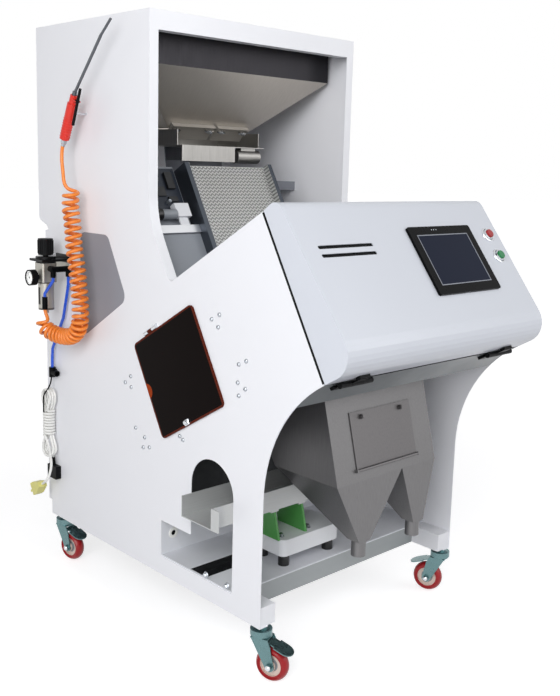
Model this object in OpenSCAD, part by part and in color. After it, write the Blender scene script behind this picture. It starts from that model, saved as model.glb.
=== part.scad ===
// Optical colour sorter: a floor-standing cabinet on casters with a feed hopper on top,
// an inclined chute between tilted optics, a hinged operator console and a double outlet.
// Millimetres. The origin lies on the floor under the middle of the cabinet, +Z is up and
// -Y is the operator's side.

/* [Cabinet] */
// Width over the two side panels
cab_w = 660; // [640:2:690]
// Depth of the side panels along the floor frame
cab_d = 856; // [840:2:880]
// Height of the column above the lower edge of the side panels
col_h = 1293; // [1280:1:1320]
// Distance from the front legs back to the front of the column
col_y = 403; // [398:1:410]
// Overhang of the upper column behind the lower cabinet
back_step = 46; // [36:1:56]
// Height of that step above the lower edge
step_z = 790; // [770:5:800]
// Thickness of the steel sheet
sheet = 2; // [1.5:0.25:2.5]
// Width of the folded edge around a side panel
fold = 24; // [20:1:28]
// Rounding between the column and its leaning edge
col_r = 200; // [150:10:220]
// Rounding in the notch between column and arm
notch_r = 12; // [6:1:18]
// Side of the square floor tubes
tube = 44; // [40:1:48]
// Wall of the floor tubes
tube_wall = 3; // [2:0.5:4]

/* [Console] */
// Tilt of chute, optics and console seam from the vertical
tilt = 30; // [29.5:0.5:30.5]
// Reach of the console hinge line in front of the legs
hinge_reach = 160; // [156:1:164]
// Height of the hinge line above the lower edge of the panels
hinge_z = 558; // [552:1:564]
// Length of the seam between side panel and console cover
seam_len = 363; // [350:1:372]
// Gap along the seam
seam_gap = 3; // [1.5:0.25:4]
// Run of the cover from the seam to the top of its face
top_run = 49; // [44:1:60]
// Slope of the console face from the vertical
face_tilt = 37; // [36:0.5:38]
// Rounding along the top of the face
top_r = 25; // [15:1:30]
// Rounding along the nose of the cover
nose_r = 50; // [40:1:56]
// Width of the touch screen's bezel
screen_w = 222; // [190:1:230]
// Height of the touch screen's bezel
screen_h = 167; // [140:1:172]
// Push button diameter over its bezel
button_d = 30; // [26:1:34]
// Travel of a push button
button_travel = 4; // [2:0.5:5]
// Length of a vent slot
vent_len = 160; // [120:5:180]
// Length of one console hinge
hinge_len = 92; // [70:2:110]

/* [Side window] */
// Length of the tinted pane along the arm
win_w = 250; // [220:2:260]
// Height of the tinted pane across the arm
win_h = 235; // [210:2:245]
// Thickness of the pane
win_t = 4; // [3:0.5:6]
// Overlap of the pane around its opening
win_lap = 16; // [10:1:24]

/* [Feed] */
// Half width of the hopper's upright rim
rim_half = 312; // [305:1:316]
// Height of the rim
rim_h = 104; // [90:1:112]
// Half width of the chute, the throat and the trough
chute_half = 131; // [122:1:138]
// Depth of the throat from front to back
throat_d = 90; // [70:2:110]
// Length of the chute
chute_len = 425; // [415:1:430]
// Height of the chute's side rails
rail_h = 18; // [12:1:24]
// Stroke of the feeder either way
feeder_stroke = 0.5; // [0.25:0.05:0.75]

/* [Outlet] */
// Half width of the outlet hopper
out_half = 168; // [160:1:174]
// Offset of the split between its two funnels
out_split = 47; // [30:1:60]
// Outer diameter of an outlet spout
spout_d = 33; // [28:1:38]
// Height of a spout
spout_h = 36; // [28:1:44]
// Half width of the inspection door
door_half = 102; // [90:1:115]
// Height of the inspection door along the face
door_h = 127; // [110:1:135]
// Outer width of the discharge tray
tray_w = 104; // [92:1:112]
// Height of the discharge tray's walls
tray_h = 48; // [38:1:56]
// Length by which the tray stands out of the left panel
tray_out = 45; // [30:1:60]

/* [Casters] */
// Height of the panels' lower edge above the floor
caster_h = 118; // [114:1:124]
// Wheel diameter
wheel_d = 75; // [70:1:78]
// Tread width
wheel_w = 26; // [22:1:28]
// Distance of the axle behind the swivel axis
trail = 29; // [25:1:32]
// Stem diameter
stem_d = 12; // [10:1:14]

/* [Air] */
// Diameter of the regulator's bowl
bowl_d = 40; // [34:1:44]
// Diameter of the adjusting knob
knob_d = 40; // [34:1:42]
// Diameter of the pressure gauge
gauge_d = 40; // [34:1:44]
// Diameter of the blue air tube
air_d = 8; // [6:1:10]
// Diameter of the spiral hose
hose_d = 8; // [6:1:8]
// Diameter over the hose's turns
coil_d = 44; // [38:1:46]

/* [Hidden] */
$fn = 48;

white = "#eef0f6";
shade_white = "#dfe2ea";
steel = "#a9a9ab";
dark_steel = "#5c5c60";
zinc = "#8fb3b3";
black = "#17181b";
chrome = "#d5d8dc";
grey = "#8a8e97";

// Clearances: face to face between moving bodies, and radial on a running pin
gap = 0.4;
run = 0.05;

half_w = cab_w / 2;
inner = half_w - sheet;
back_y = cab_d + back_step;
step_rise = 16;

// Directions in the side plane, as [y, z]: up along the tilt, and forwards across it
up_t = [sin(tilt), cos(tilt)];
fw_t = [-cos(tilt), sin(tilt)];

// Key points of the side profile
seam_low = [-hinge_reach, hinge_z];
seam_top = seam_low + seam_len * up_t;
arc_r = hinge_reach / (1 - sin(tilt));
arc_c = [-arc_r, hinge_z - arc_r * cos(tilt)];
arm_len = 348;
notch = seam_top - arm_len * fw_t;
lean = notch + up_t * (col_y - notch[0]) / sin(tilt);
top_dir = [-cos(face_tilt), sin(face_tilt)];
face_top = seam_top + top_run * top_dir;
face_dn = [-sin(face_tilt), -cos(face_tilt)];
nose = meet(face_top, face_dn, seam_low, fw_t);

function unit(v) = v / norm(v);
function cross2(a, b) = a[0] * b[1] - a[1] * b[0];
function meet(p, u, q, w) = p + u * cross2(q - p, w) / cross2(u, w);
function arc(c, r, a0, a1, n) = [for (i = [0 : n])
  c + r * [cos(a0 + (a1 - a0) * i / n), sin(a0 + (a1 - a0) * i / n)]];
function wrap(a) = a > 180 ? a - 360 : a < -180 ? a + 360 : a;
// Rounded corner at v between the points a and b
function fillet(a, v, b, r, n = 8) =
  let (u = unit(a - v), w = unit(b - v), half = acos(u * w) / 2)
  let (c = v + unit(u + w) * r / sin(half), p = v + u * r / tan(half) - c, q = v + w * r / tan(half) - c)
  let (a0 = atan2(p[1], p[0]), turn = wrap(atan2(q[1], q[0]) - a0))
  arc(c, r, a0, a0 + turn, n);

panel_pts = concat(
  [[0, 0]],
  arc(arc_c, arc_r, 0, 90 - tilt, 14),
  [seam_top],
  fillet(seam_top, notch, lean, notch_r, 4),
  fillet(notch, lean, [col_y, col_h], col_r, 8),
  [[col_y, col_h], [back_y, col_h]],
  fillet([back_y, col_h], [back_y, step_z + step_rise], [cab_d, step_z], step_rise, 3),
  fillet([back_y, step_z + step_rise], [cab_d, step_z], [cab_d, 0], step_rise, 3),
  [[cab_d, 0]]);

// Cover profile, held off the seam by its gap; a length back carries it on behind the seam
seam_deep = 40;
function cover_pts(back) = concat(
  [seam_low + (seam_gap - back) * fw_t,
    seam_top + (seam_gap / cos(face_tilt - tilt) - back) * top_dir],
  fillet(seam_top, face_top, nose, top_r, 6),
  fillet(face_top, nose, seam_low, nose_r, 8));

// Side profile drawn as [y, z] and run from x0 to x1
module along_x(x0, x1) translate([x0, 0, 0]) rotate([90, 0, 90]) linear_extrude(x1 - x0) children();
// Machine coordinates: y from the front legs, z from the panels' lower edge
module place() translate([0, -cab_d / 2, caster_h]) children();
// Local frame with y and z across and along the tilt at a point of the side plane
module tilted(p) translate([0, p[0], p[1]]) rotate([-tilt, 0, 0]) children();
module box(lo, hi) translate(lo) cube(hi - lo);
module rounded_rect(w, h, r) {
  square([w - 2 * r, h], center = true);
  square([w, h - 2 * r], center = true);
  for (x = [-1, 1], y = [-1, 1]) translate([x * (w / 2 - r), y * (h / 2 - r)]) circle(r);
}
module rod(p, q, d) {
  v = q - p;
  translate(p) rotate([0, acos(v[2] / norm(v)), atan2(v[1], v[0])]) cylinder(d = d, h = norm(v));
}

// Sweep of a round section along a list of points, as one closed solid
sides = 8;
function tangent(p, i) = unit(p[min(i + 1, len(p) - 1)] - p[max(i - 1, 0)]);
function side_of(t) = unit(cross(t, abs(t[0]) > 0.9 ? [0, 0, 1] : [1, 0, 0]));
function ring(c, t, r) = let (u = side_of(t), w = cross(t, u))
  [for (k = [0 : sides - 1]) c + r * (cos(360 * k / sides) * u + sin(360 * k / sides) * w)];
module sweep(p, d) {
  n = len(p);
  pts = [for (i = [0 : n - 1]) each ring(p[i], tangent(p, i), d / 2)];
  skin = [for (i = [0 : n - 2], k = [0 : sides - 1])
    let (a = i * sides + k, b = i * sides + (k + 1) % sides) [a, a + sides, b + sides, b]];
  ends = [[for (k = [0 : sides - 1]) k], [for (k = [sides - 1 : -1 : 0]) (n - 1) * sides + k]];
  polyhedron(pts, concat(skin, ends));
}

// Side window: centre of the pane on the arm
win_c = [290, 499];
// Grey side cover: corners of its opening, with their rounding and the cover's overlap behind it
quad = [[700, 787], [573, 787], [493, 639], [700, 513]];
quad_r = 24;
quad_lap = 10;
quad_pts = [for (i = [0 : 3]) each fillet(quad[(i + 3) % 4], quad[i], quad[(i + 1) % 4], quad_r, 5)];
// Lower opening: an arch for the discharge tray that runs on into a low slot
arch_y = 165;
arch_r = 73;
arch_z = 256;
slot_y = 350;
slot_z = 135;
sill = tube + 1;
// Caster stems
stem_x = half_w - 18;
stem_ys = [14, cab_d - 38];
stem_hole = stem_d / 2 + 3;

module window_hole() along_x(-half_w - 1, 1 - inner) translate(win_c) rotate(-tilt)
  rounded_rect(win_w - 2 * win_lap, win_h - 2 * win_lap, 8);
module quad_hole() along_x(-half_w - 1, 1 - inner) polygon(quad_pts);
module tray_hole() along_x(-half_w - 1, 1 - inner) {
  translate([arch_y, arch_z]) circle(arch_r);
  translate([arch_y - arch_r, sill]) square([2 * arch_r, arch_z - sill]);
  translate([arch_y - arch_r, sill]) square([slot_y - arch_y + arch_r, slot_z - sill]);
}
module stem_holes() for (y = stem_ys) translate([-stem_x, y, -1]) cylinder(r = stem_hole, h = sheet + 2);
// The front leg and the curve above it have a bare edge without a fold
module bare_front() {
  translate([-1, sheet]) square([sheet + 1.5, arc_c[1] - sheet]);
  polygon(concat(arc(arc_c, arc_r - 1, -0.5, 91 - tilt, 14),
    arc(arc_c, arc_r + sheet + 0.5, 91 - tilt, -0.5, 14)));
}
module panel_blank() {
  along_x(-half_w, -inner) polygon(panel_pts);
  difference() {
    along_x(-half_w, fold - half_w) difference() {
      polygon(panel_pts);
      offset(delta = -sheet) polygon(panel_pts);
      bare_front();
    }
    stem_holes();
  }
}
module left_panel() color(white) place() difference() {
  panel_blank();
  window_hole();
  quad_hole();
  tray_hole();
}
module right_panel() color(white) place() mirror([1, 0, 0]) panel_blank();

// Roof with the hopper mouth, front rail and upper back of the column
rail_z = col_h - 43;
rail_d = 30;
flange_x = half_w - fold;
rim_y = [478, back_y - 32];
rim_z0 = col_h - sheet - rim_h;
module top_frame() color(white) place() {
  difference() {
    box([-flange_x, col_y, col_h - sheet], [flange_x, back_y, col_h]);
    box([-rim_half + sheet, rim_y[0] + sheet, col_h - 2 * sheet],
      [rim_half - sheet, rim_y[1] - sheet, col_h + 1]);
  }
  box([-flange_x, col_y, rail_z], [flange_x, col_y + sheet, col_h]);
  box([-flange_x, col_y, rail_z], [flange_x, col_y + rail_d, rail_z + sheet]);
  box([-flange_x, back_y - sheet, step_z + 2 * step_rise], [flange_x, back_y, col_h]);
}

// Lower back: a shallow pan with rows of louvres
rear_d = 36;
rear_x = half_w - 12;
rear_z = [30, step_z - 12];
louvre = [90, 6];
module rear_cover() color(white) place() difference() {
  box([-rear_x, cab_d, rear_z[0]], [rear_x, cab_d + rear_d, rear_z[1]]);
  box([sheet - rear_x, cab_d - 1, rear_z[0] + sheet],
    [rear_x - sheet, cab_d + rear_d - sheet, rear_z[1] - sheet]);
  for (x = [-1, 1], k = [0 : 7])
    translate([x * rear_x / 2, cab_d + rear_d, rear_z[1] - 90 - 16 * k])
      cube([louvre[0], 4 * sheet, louvre[1]], center = true);
}

// Floor frame: two long tubes with bushes for the stems, joined by cross tubes
tube_z = [sheet, sheet + tube];
tube_x = [inner - tube, inner];
cross_ys = [86, cab_d - 3 * tube];
bush_r = stem_d / 2 + 5;
stem_up = 34;
module floor_tube() difference() {
  box([tube_x[0], sheet, tube_z[0]], [tube_x[1], cab_d - sheet, tube_z[1]]);
  box([tube_x[0] + tube_wall, 2 * sheet, tube_z[0] + tube_wall],
    [tube_x[1] - tube_wall, cab_d - 2 * sheet, tube_z[1] - tube_wall]);
}
module base_frame() color(white) place() difference() {
  union() {
    floor_tube();
    mirror([1, 0, 0]) floor_tube();
    for (y = cross_ys) difference() {
      box([-tube_x[0], y, tube_z[0]], [tube_x[0], y + tube, tube_z[1]]);
      box([-tube_x[0] - 1, y + tube_wall, tube_z[0] + tube_wall],
        [tube_x[0] + 1, y + tube - tube_wall, tube_z[1] - tube_wall]);
    }
    for (x = [-1, 1], y = stem_ys) translate([x * stem_x, y, tube_z[0]])
      cylinder(r = bush_r, h = tube - 1);
  }
  for (x = [-1, 1], y = stem_ys) translate([x * stem_x, y, tube_z[0] - 1])
    cylinder(d = stem_d + 2 * run, h = stem_up + 4);
}

// Base plate over the front half of the frame, folded up into a back wall, with two cable holes
plate_z = [tube_z[1], tube_z[1] + 3];
cable_slot = [[-inner + 4, 186], [-190, 245]];
wall_top = 380;
module base_plate() color(white) place() difference() {
  union() {
    box([-inner, cross_ys[0], plate_z[0]], [inner, slot_y + sheet, plate_z[1]]);
    box([-inner, slot_y, plate_z[0]], [inner, slot_y + sheet, wall_top]);
  }
  box([cable_slot[0][0], cable_slot[0][1], plate_z[0] - 1],
    [cable_slot[1][0], cable_slot[1][1], plate_z[1] + 1]);
  translate([-half_w + 36, slot_y - 1, plate_z[1] + 46]) rotate([-90, 0, 0])
    cylinder(r = 11, h = sheet + 2);
}

module side_cover() color(grey) place() along_x(-inner, sheet - inner) offset(delta = quad_lap)
  polygon(quad_pts);

// Curved underside between the arms, with a stiffening edge
under_end = 43;
under_lip = under_end + sheet / arc_r * 180 / PI;
module underside_panel() color(shade_white) place() along_x(-inner, inner) polygon(concat(
  arc(arc_c, arc_r, under_end, 90 - tilt, 10),
  arc(arc_c, arc_r + sheet, 90 - tilt, under_lip, 10),
  [arc_c + (arc_r + fold) * [cos(under_lip), sin(under_lip)],
    arc_c + (arc_r + fold) * [cos(under_end), sin(under_end)]]));

// Feed hopper: upright rim, then four sloped walls down to the throat
// The chute's head is set from the notch; the trough and the throat follow it
chute_rise = 327.18;
chute_back = 51.42;
chute_top = notch + chute_rise * up_t - chute_back * fw_t;
floor_z = chute_top[1] + 51;
throat_y = chute_top[0] + 69;
throat_z = floor_z + 41;
module slab(x, y0, y1, z) box([-x, y0, z], [x, y1, z + 0.01]);
module funnel(t) hull() {
  slab(rim_half - t, rim_y[0] + t, rim_y[1] - t, rim_z0);
  slab(chute_half + sheet - t, throat_y + t, throat_y + throat_d - t, throat_z - (t > 0 ? 0.02 : 0));
}
module feed_hopper() color(steel) place() {
  difference() {
    box([-rim_half, rim_y[0], rim_z0], [rim_half, rim_y[1], col_h - sheet]);
    box([sheet - rim_half, rim_y[0] + sheet, rim_z0 - 1], [rim_half - sheet, rim_y[1] - sheet, col_h]);
  }
  difference() {
    funnel(0);
    funnel(sheet);
    box([sheet - rim_half, rim_y[0] + sheet, rim_z0 - 0.005],
      [rim_half - sheet, rim_y[1] - sheet, rim_z0 + 1]);
  }
  for (x = [-1, 1]) box([x > 0 ? rim_half : -inner, rim_y[0] + 60, rim_z0 + 20],
    [x > 0 ? inner : -rim_half, rim_y[1] - 60, rim_z0 + 20 + sheet]);
}

// Gate plates on the hopper's front slope, with their clamp screws
slope_a = atan2(rim_z0 - throat_z, throat_y - rim_y[0]);
gate_len = 48;
gate_low = 30;
gate_x = [[-chute_half, 6], [16, chute_half - 10]];
gate_t = 2;
screw_d = 12;
module on_slope() translate([0, throat_y, throat_z]) rotate([180 - slope_a, 0, 0]) children();
module gate(g) on_slope() {
  box([g[0], -gate_low, gap], [g[1], gate_len - gate_low, gap + gate_t]);
  box([g[0], gate_len - gate_low - gate_t, gap], [g[1], gate_len - gate_low, gap + 12]);
  for (x = [g[0] + 16, g[1] - 16]) translate([x, 4, gap]) cylinder(d = screw_d, h = gate_t + 8);
}
module feed_gate_left() color(chrome) place() gate(gate_x[0]);
module feed_gate_right() color(chrome) place() gate(gate_x[1]);

// Vibrating feed trough with its apron, and the vibrator slung under its front corner
trough_y = [chute_top[0] + 6, throat_y + throat_d + 40];
trough_wall = 38;
apron = 39;
apron_x = 36;
can_d = 36;
can_x = [apron_x + 14, chute_half - 4];
trough_in = chute_half + 3;
module feeder_trough() color(steel) place() {
  box([-trough_in - sheet, trough_y[0], floor_z - sheet], [trough_in + sheet, trough_y[1], floor_z]);
  for (x = [-1, 1]) translate([x * (trough_in + sheet / 2), 0, 0])
    box([-sheet / 2, trough_y[0] + 20, floor_z - sheet], [sheet / 2, trough_y[1], floor_z + trough_wall]);
  box([-trough_in, trough_y[1] - sheet, floor_z - sheet],
    [trough_in, trough_y[1], floor_z + trough_wall]);
  box([-trough_in - sheet, trough_y[0], floor_z - apron], [apron_x, trough_y[0] + sheet, floor_z]);
  translate([can_x[0], trough_y[0] + can_d / 2, floor_z - sheet - can_d / 2 - 4]) rotate([0, 90, 0])
    cylinder(d = can_d, h = can_x[1] - can_x[0]);
  box([can_x[0] + 14, trough_y[0] + 8, floor_z - sheet - 8],
    [can_x[1] - 14, trough_y[0] + can_d - 8, floor_z - sheet]);
}

// Drive of the feeder: cross beam, magnet block and two leaf springs up to the trough
drive_z = floor_z - sheet - 110;
drive_y = [throat_y + 10, throat_y + 110];
magnet = [70, 50];
leaf_half = 55;
beam_h = 24;
module leaf(y, z0, z1, lean_y, half, t) rotate([90, 0, 90]) translate([0, 0, -half])
  linear_extrude(2 * half)
  polygon([[y, z0], [y + t, z0], [y + t + lean_y, z1], [y + lean_y, z1]]);
module feeder_drive() color(dark_steel) place() {
  box([-inner, drive_y[0], drive_z], [inner, drive_y[1], drive_z + beam_h]);
  box([-magnet[0], drive_y[0] + 20, drive_z + beam_h],
    [magnet[0], drive_y[1] - 20, drive_z + beam_h + magnet[1]]);
  for (y = [drive_y[0], drive_y[1] - 6])
    leaf(y, drive_z + beam_h, floor_z - sheet - gap, 14, leaf_half, 5);
}

// Chute: textured slide between folded rails, on two cross bars
chute_t = 3;
bar = 20;
bar_s = [160, chute_len - bar];
rail_w = 14;
rail_back = 38;
module chute() color(steel) place() tilted(chute_top) {
  box([-chute_half - rail_w, 0, -chute_len], [chute_half + rail_w, chute_t, 0]);
  for (x = [-1, 1]) translate([x * (chute_half + rail_w / 2), 0, 0])
    box([-rail_w / 2, -rail_h, -chute_len], [rail_w / 2, rail_back, 0]);
  for (s = bar_s) box([-inner, chute_t, -s - bar], [inner, chute_t + bar, -s]);
}

// Optics: a hollow housing on each side of the falling stream, hung on cross bars, each with a
// glass strip over its window, the covers beside the chute and a board on the left
optic_n = [45, 150];
optic_x = half_w - 60;
front_s = [350, 540];
rear_s = [340, 500];
glass_x = chute_half + 30;
glass_s = [405, 490];
glass_t = 3;
glass_lap = 6;
lid_n = 10;
lid_x = chute_half + rail_w;
board_n = 26;
board_s = [-10, bar_s[0] - 2];
lid_s = [bar_s[0] + bar + 1, bar_s[1] - 1];
module housing(s, n0, n1, bar_n, bar_at) {
  difference() {
    box([-optic_x, n0, -s[1]], [optic_x, n1, -s[0]]);
    box([sheet - optic_x, n0 + sheet, sheet - s[1]], [optic_x - sheet, n1 - sheet, -s[0] - sheet]);
    box([glass_lap - glass_x, -optic_n[0] - 2 * sheet, glass_lap - glass_s[1]],
      [glass_x - glass_lap, optic_n[0] + 2 * sheet, -glass_s[0] - glass_lap]);
  }
  for (x = [-1, 1]) translate([x * (optic_x + inner) / 2, 0, 0])
    box([-(inner - optic_x) / 2, bar_n, -bar_at - bar], [(inner - optic_x) / 2, bar_n + bar, -bar_at]);
}
module optics_boxes() color(grey) place() tilted(chute_top) {
  housing(front_s, -optic_n[1], -optic_n[0], -optic_n[0] - 2 * bar, front_s[0] + 4);
  housing(rear_s, optic_n[0], optic_n[1], optic_n[1] - 2 * bar, rear_s[1] - 2 * bar);
  box([-inner, lid_n, -lid_s[1]], [-lid_x, lid_n + sheet, -lid_s[0]]);
  box([lid_x, lid_n, -lid_s[1]], [inner, lid_n + sheet, -lid_s[0]]);
  box([-inner, board_n, -board_s[1]], [-lid_x - 5, board_n + sheet, -board_s[0]]);
}
module optics_glass() color("#3d5a5e", 0.6) place() tilted(chute_top)
  for (n = [optic_n[0] - glass_t, -optic_n[0]])
  box([-glass_x, n, -glass_s[1]], [glass_x, n + glass_t, -glass_s[0]]);

// Rear camera on its white bracket, seen through the notch
cam_s = 129;
cam_d = 28;
cam_x = [-273, -245, -203, -161];
module camera_unit() color(black) place() tilted(chute_top) {
  translate([cam_x[0], 8, -cam_s]) rotate([0, 90, 0]) cylinder(d = cam_d, h = cam_x[1] - cam_x[0]);
  translate([cam_x[1], 8, -cam_s]) rotate([0, 90, 0]) cylinder(d = cam_d - 3, h = cam_x[2] - cam_x[1]);
  box([cam_x[2], 0, -cam_s - 9], [cam_x[3], 18, 26 - cam_s]);
  box([cam_x[2] + 8, 8, -bar_s[0]], [cam_x[3] - 8, 12, -cam_s - 9]);
}

// Air ejectors: a manifold with one nozzle per channel group
eject_s = [rear_s[1], rear_s[1] + 28];
eject_x = 200;
eject_n = [48, 84];
nozzles = 16;
module ejector_manifold() color("#c9ccd2") place() tilted(chute_top) {
  box([-eject_x, eject_n[0], -eject_s[1]], [eject_x, eject_n[1], -eject_s[0]]);
  for (k = [0 : nozzles - 1])
    translate([(k - (nozzles - 1) / 2) * 2 * chute_half / nozzles, eject_n[0],
      -(eject_s[0] + eject_s[1]) / 2])
      rotate([90, 0, 0]) cylinder(d = 6, h = 10, $fn = 16);
}

// Outlet hopper: leaning box with two unequal funnels and round spouts
out_front = [[-3, 500], [-57, 290]];
out_back = [285, 137];
spout_y = -50;
spout_x = [-84, 104];
spout_top = 152;
ridge = 1;
// Leaning box over two funnels as one closed skin, inset by t and carried up past its rim
module chamber(t, up) {
  z0 = spout_top + t;
  z1 = out_front[1][1] + t;
  z2 = out_front[0][1] + up;
  r = spout_d / 2 + 1 - t;
  x = [t - out_half, out_split - ridge - t, out_split + ridge + t, out_half - t];
  y = [out_front[1][0] + t, out_back[1] - t];
  points = concat(
    [for (k = [0, 1], c = [[-r, -r], [r, -r], [r, r], [-r, r]]) [spout_x[k] + c[0], spout_y + c[1], z0]],
    [for (k = [0, 2]) each [[x[k], y[0], z1], [x[k + 1], y[0], z1], [x[k + 1], y[1], z1],
      [x[k], y[1], z1]]],
    [for (c = [[x[0], out_front[0][0] + t], [x[3], out_front[0][0] + t], [x[3], out_back[0] - t],
      [x[0], out_back[0] - t]])
      [c[0], c[1], z2]]);
  funnel_faces = [for (k = [0, 4]) each [[k, k + 1, k + 2, k + 3],
    each [for (i = [0 : 3])
      if (k + i != 1 && k + i != 7) [k + i, k + 8 + i, k + 8 + (i + 1) % 4, k + (i + 1) % 4]]]];
  ridge_faces = [[1, 9, 10, 2], [7, 15, 12, 4], [9, 12, 15, 10]];
  wall_faces = [[8, 16, 9], [9, 16, 17, 12], [12, 17, 13], [13, 17, 18, 14],
    [14, 18, 15], [15, 18, 19, 10], [10, 19, 11], [11, 19, 16, 8], [19, 18, 17, 16]];
  polyhedron(points, concat(funnel_faces, ridge_faces, wall_faces));
}
lean_out = atan2(out_front[0][0] - out_front[1][0], out_front[0][1] - out_front[1][1]);
// Frame on the hopper's front wall: x across, y up the wall, z outwards, from the lower edge
module on_outlet(s) translate([0, out_front[1][0], out_front[1][1]]) rotate([90 - lean_out, 0, 0])
  translate([0, s, 0]) children();
door_low = 24;
door_lap = 9;
ear_z = 470;
lug_t = 4;
lug_pin = 3;
module spouts(d, below, above) for (x = spout_x) translate([x, spout_y, spout_top - spout_h - below])
  cylinder(d = d, h = spout_h + below + above);
module outlet_hopper() color(steel) place() {
  difference() {
    union() {
      chamber(0, 0);
      spouts(spout_d, 0, 3);
    }
    chamber(sheet, 1);
    spouts(spout_d - 2 * sheet, 1, 4);
    on_outlet(door_low + door_lap) translate([0, (door_h - 2 * door_lap) / 2, 0])
      cube([2 * (door_half - door_lap), door_h - 2 * door_lap, 6 * sheet], center = true);
  }
  for (x = [-1, 1]) translate([x * (out_half + inner) / 2, 0, 0])
    box([-(inner - out_half) / 2, 90, ear_z], [(inner - out_half) / 2, 130, ear_z + 3]);
  on_outlet(door_low) for (x = [-1, 1]) {
    translate([x * (door_half + gap + lug_t / 2), 0, knuckle_d / 2 - 0.1])
      cube([lug_t, knuckle_d, knuckle_d + 2 * gap + 0.6], center = true);
    translate([x * (door_half + gap + lug_t - 8), 0, gap + knuckle_d / 2]) rotate([0, 90, 0])
      cylinder(d = lug_pin, h = 16 - 2 * gap, center = true);
  }
}

// Inspection door on a knuckle along its lower edge, with two thumb screws at the top
knuckle_d = 7;
thumb_x = 66;
thumb_d = 11;
module outlet_door() color(steel) place() on_outlet(door_low) {
  difference() {
    union() {
      box([-door_half, 0, gap], [door_half, door_h, gap + sheet]);
      translate([-door_half, 0, gap + knuckle_d / 2]) rotate([0, 90, 0])
        cylinder(d = knuckle_d, h = 2 * door_half);
    }
    translate([-door_half - 1, 0, gap + knuckle_d / 2]) rotate([0, 90, 0])
      cylinder(d = lug_pin + 2 * run, h = 2 * door_half + 2);
  }
  for (x = [-1, 1]) translate([x * thumb_x, door_h - 13, gap + sheet]) {
    cylinder(d = thumb_d, h = 7);
    translate([0, 0, 7]) cylinder(d = thumb_d - 4, h = 2);
  }
}

// Discharge: vibrating tray through the arch, on leaf springs over a moulded base with feet
tray_y = arch_y - 3;
tray_z = 197;
tray_x = [-half_w - tray_out, 150];
lip = 24;
clamp_h = 7;
base_x = [-165, 25];
base_w = 112;
base_z = [plate_z[1] + 28, plate_z[1] + 68];
spring_x = [-172, -86];
spring_lean = -16;
spring_t = 6;
spring_w = 94;
module discharge_tray() color(steel) place() {
  difference() {
    box([tray_x[0], tray_y - tray_w / 2, tray_z], [tray_x[1], tray_y + tray_w / 2, tray_z + tray_h]);
    box([tray_x[0] - 1, tray_y - tray_w / 2 + sheet, tray_z + sheet],
      [tray_x[1] - sheet, tray_y + tray_w / 2 - sheet, tray_z + tray_h + 1]);
  }
  box([tray_x[0], tray_y - tray_w / 2 - lip, tray_z],
    [tray_x[0] + sheet, tray_y - tray_w / 2, tray_z + tray_h]);
  for (x = spring_x) box([x + spring_lean - 8, tray_y - spring_w / 2, tray_z - clamp_h],
    [x + spring_lean + spring_t + 8, tray_y + spring_w / 2, tray_z]);
}
module discharge_springs() color("#3f8f4a") place() for (x = spring_x)
  translate([0, tray_y, 0]) rotate([90, 0, 0]) translate([0, 0, -spring_w / 2]) linear_extrude(spring_w)
    polygon([[x, base_z[1]], [x + spring_t, base_z[1]],
      [x + spring_t + spring_lean, tray_z - clamp_h - gap], [x + spring_lean, tray_z - clamp_h - gap]]);
module discharge_base() color(white) place() {
  translate([(base_x[0] + base_x[1]) / 2, tray_y, base_z[0]]) linear_extrude(base_z[1] - base_z[0])
    rounded_rect(base_x[1] - base_x[0], base_w, 16);
  for (x = base_x, y = [-1, 1])
    translate([x + (x < 0 ? 22 : -22), tray_y + y * (base_w / 2 - 20), plate_z[1]])
    cylinder(d = 26, h = base_z[0] - plate_z[1]);
}

// Console cover: folded sheet with closed ends, open towards the seam
face_x = [0, 287];
screen_s = 82;
button_s = [108, 166];
vent_s = [116, 135.5];
vent_x = -204;
vent_h = 8;
hole_d = button_d - 8;
// Frame on the console face: x across, y up the face, z outwards, at a distance s below its top edge
module on_face(x, s) translate([x, face_top[0] + s * face_dn[0], face_top[1] + s * face_dn[1]])
  rotate([90 - face_tilt, 0, 0]) children();
module console_cover() color(white) place() difference() {
  union() {
    along_x(-half_w, half_w) difference() {
      polygon(cover_pts(0));
      offset(delta = -sheet) polygon(cover_pts(seam_deep));
    }
    for (x = [-half_w, inner]) along_x(x, x + sheet) polygon(cover_pts(0));
  }
  for (s = vent_s) on_face(vent_x, s) translate([0, 0, -2 * sheet]) linear_extrude(4 * sheet)
    rounded_rect(vent_len, vent_h, 3.9);
  for (s = button_s) on_face(face_x[1], s) translate([0, 0, -2 * sheet])
    cylinder(d = hole_d, h = 4 * sheet);
  on_face(face_x[0] + screen_w / 2, screen_s + screen_h / 2)
    cube([screen_w - 24, screen_h - 24, 6 * sheet], center = true);
}

// Console hinges: pins below the seam, fixed leaves on the underside, moving leaves on the cover
pin_d = 6;
barrel_d = 12;
leaf_len = 26;
leaf_t = 2;
hinge_x = 244;
seat_y = leaf_len - 5;
pin_at = seam_low - (barrel_d / 2 + gap) * up_t;
module hinge_frame(x) translate([x, pin_at[0], pin_at[1]]) rotate([-tilt, 0, 0]) children();
module hinge_fixed() color(black) place() for (x = [-hinge_x, hinge_x]) hinge_frame(x) {
  rotate([0, 90, 0]) cylinder(d = pin_d, h = hinge_len, center = true);
  for (k = [-1, 1]) translate([k * hinge_len / 3, 0, 0]) difference() {
    union() {
      rotate([0, 90, 0]) cylinder(d = barrel_d, h = hinge_len / 3 - 2 * gap, center = true);
      translate([0, leaf_len / 2, 0]) cube([hinge_len / 3 - 2 * gap, leaf_len, leaf_t], center = true);
    }
  }
  translate([0, seat_y, barrel_d / 2 + gap - seat_y * seat_y / 2 / arc_r - 0.13])
    rotate([-asin(seat_y / arc_r), 0, 0])
    translate([0, 0, -3]) cube([hinge_len, 12, 6], center = true);
}
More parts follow.
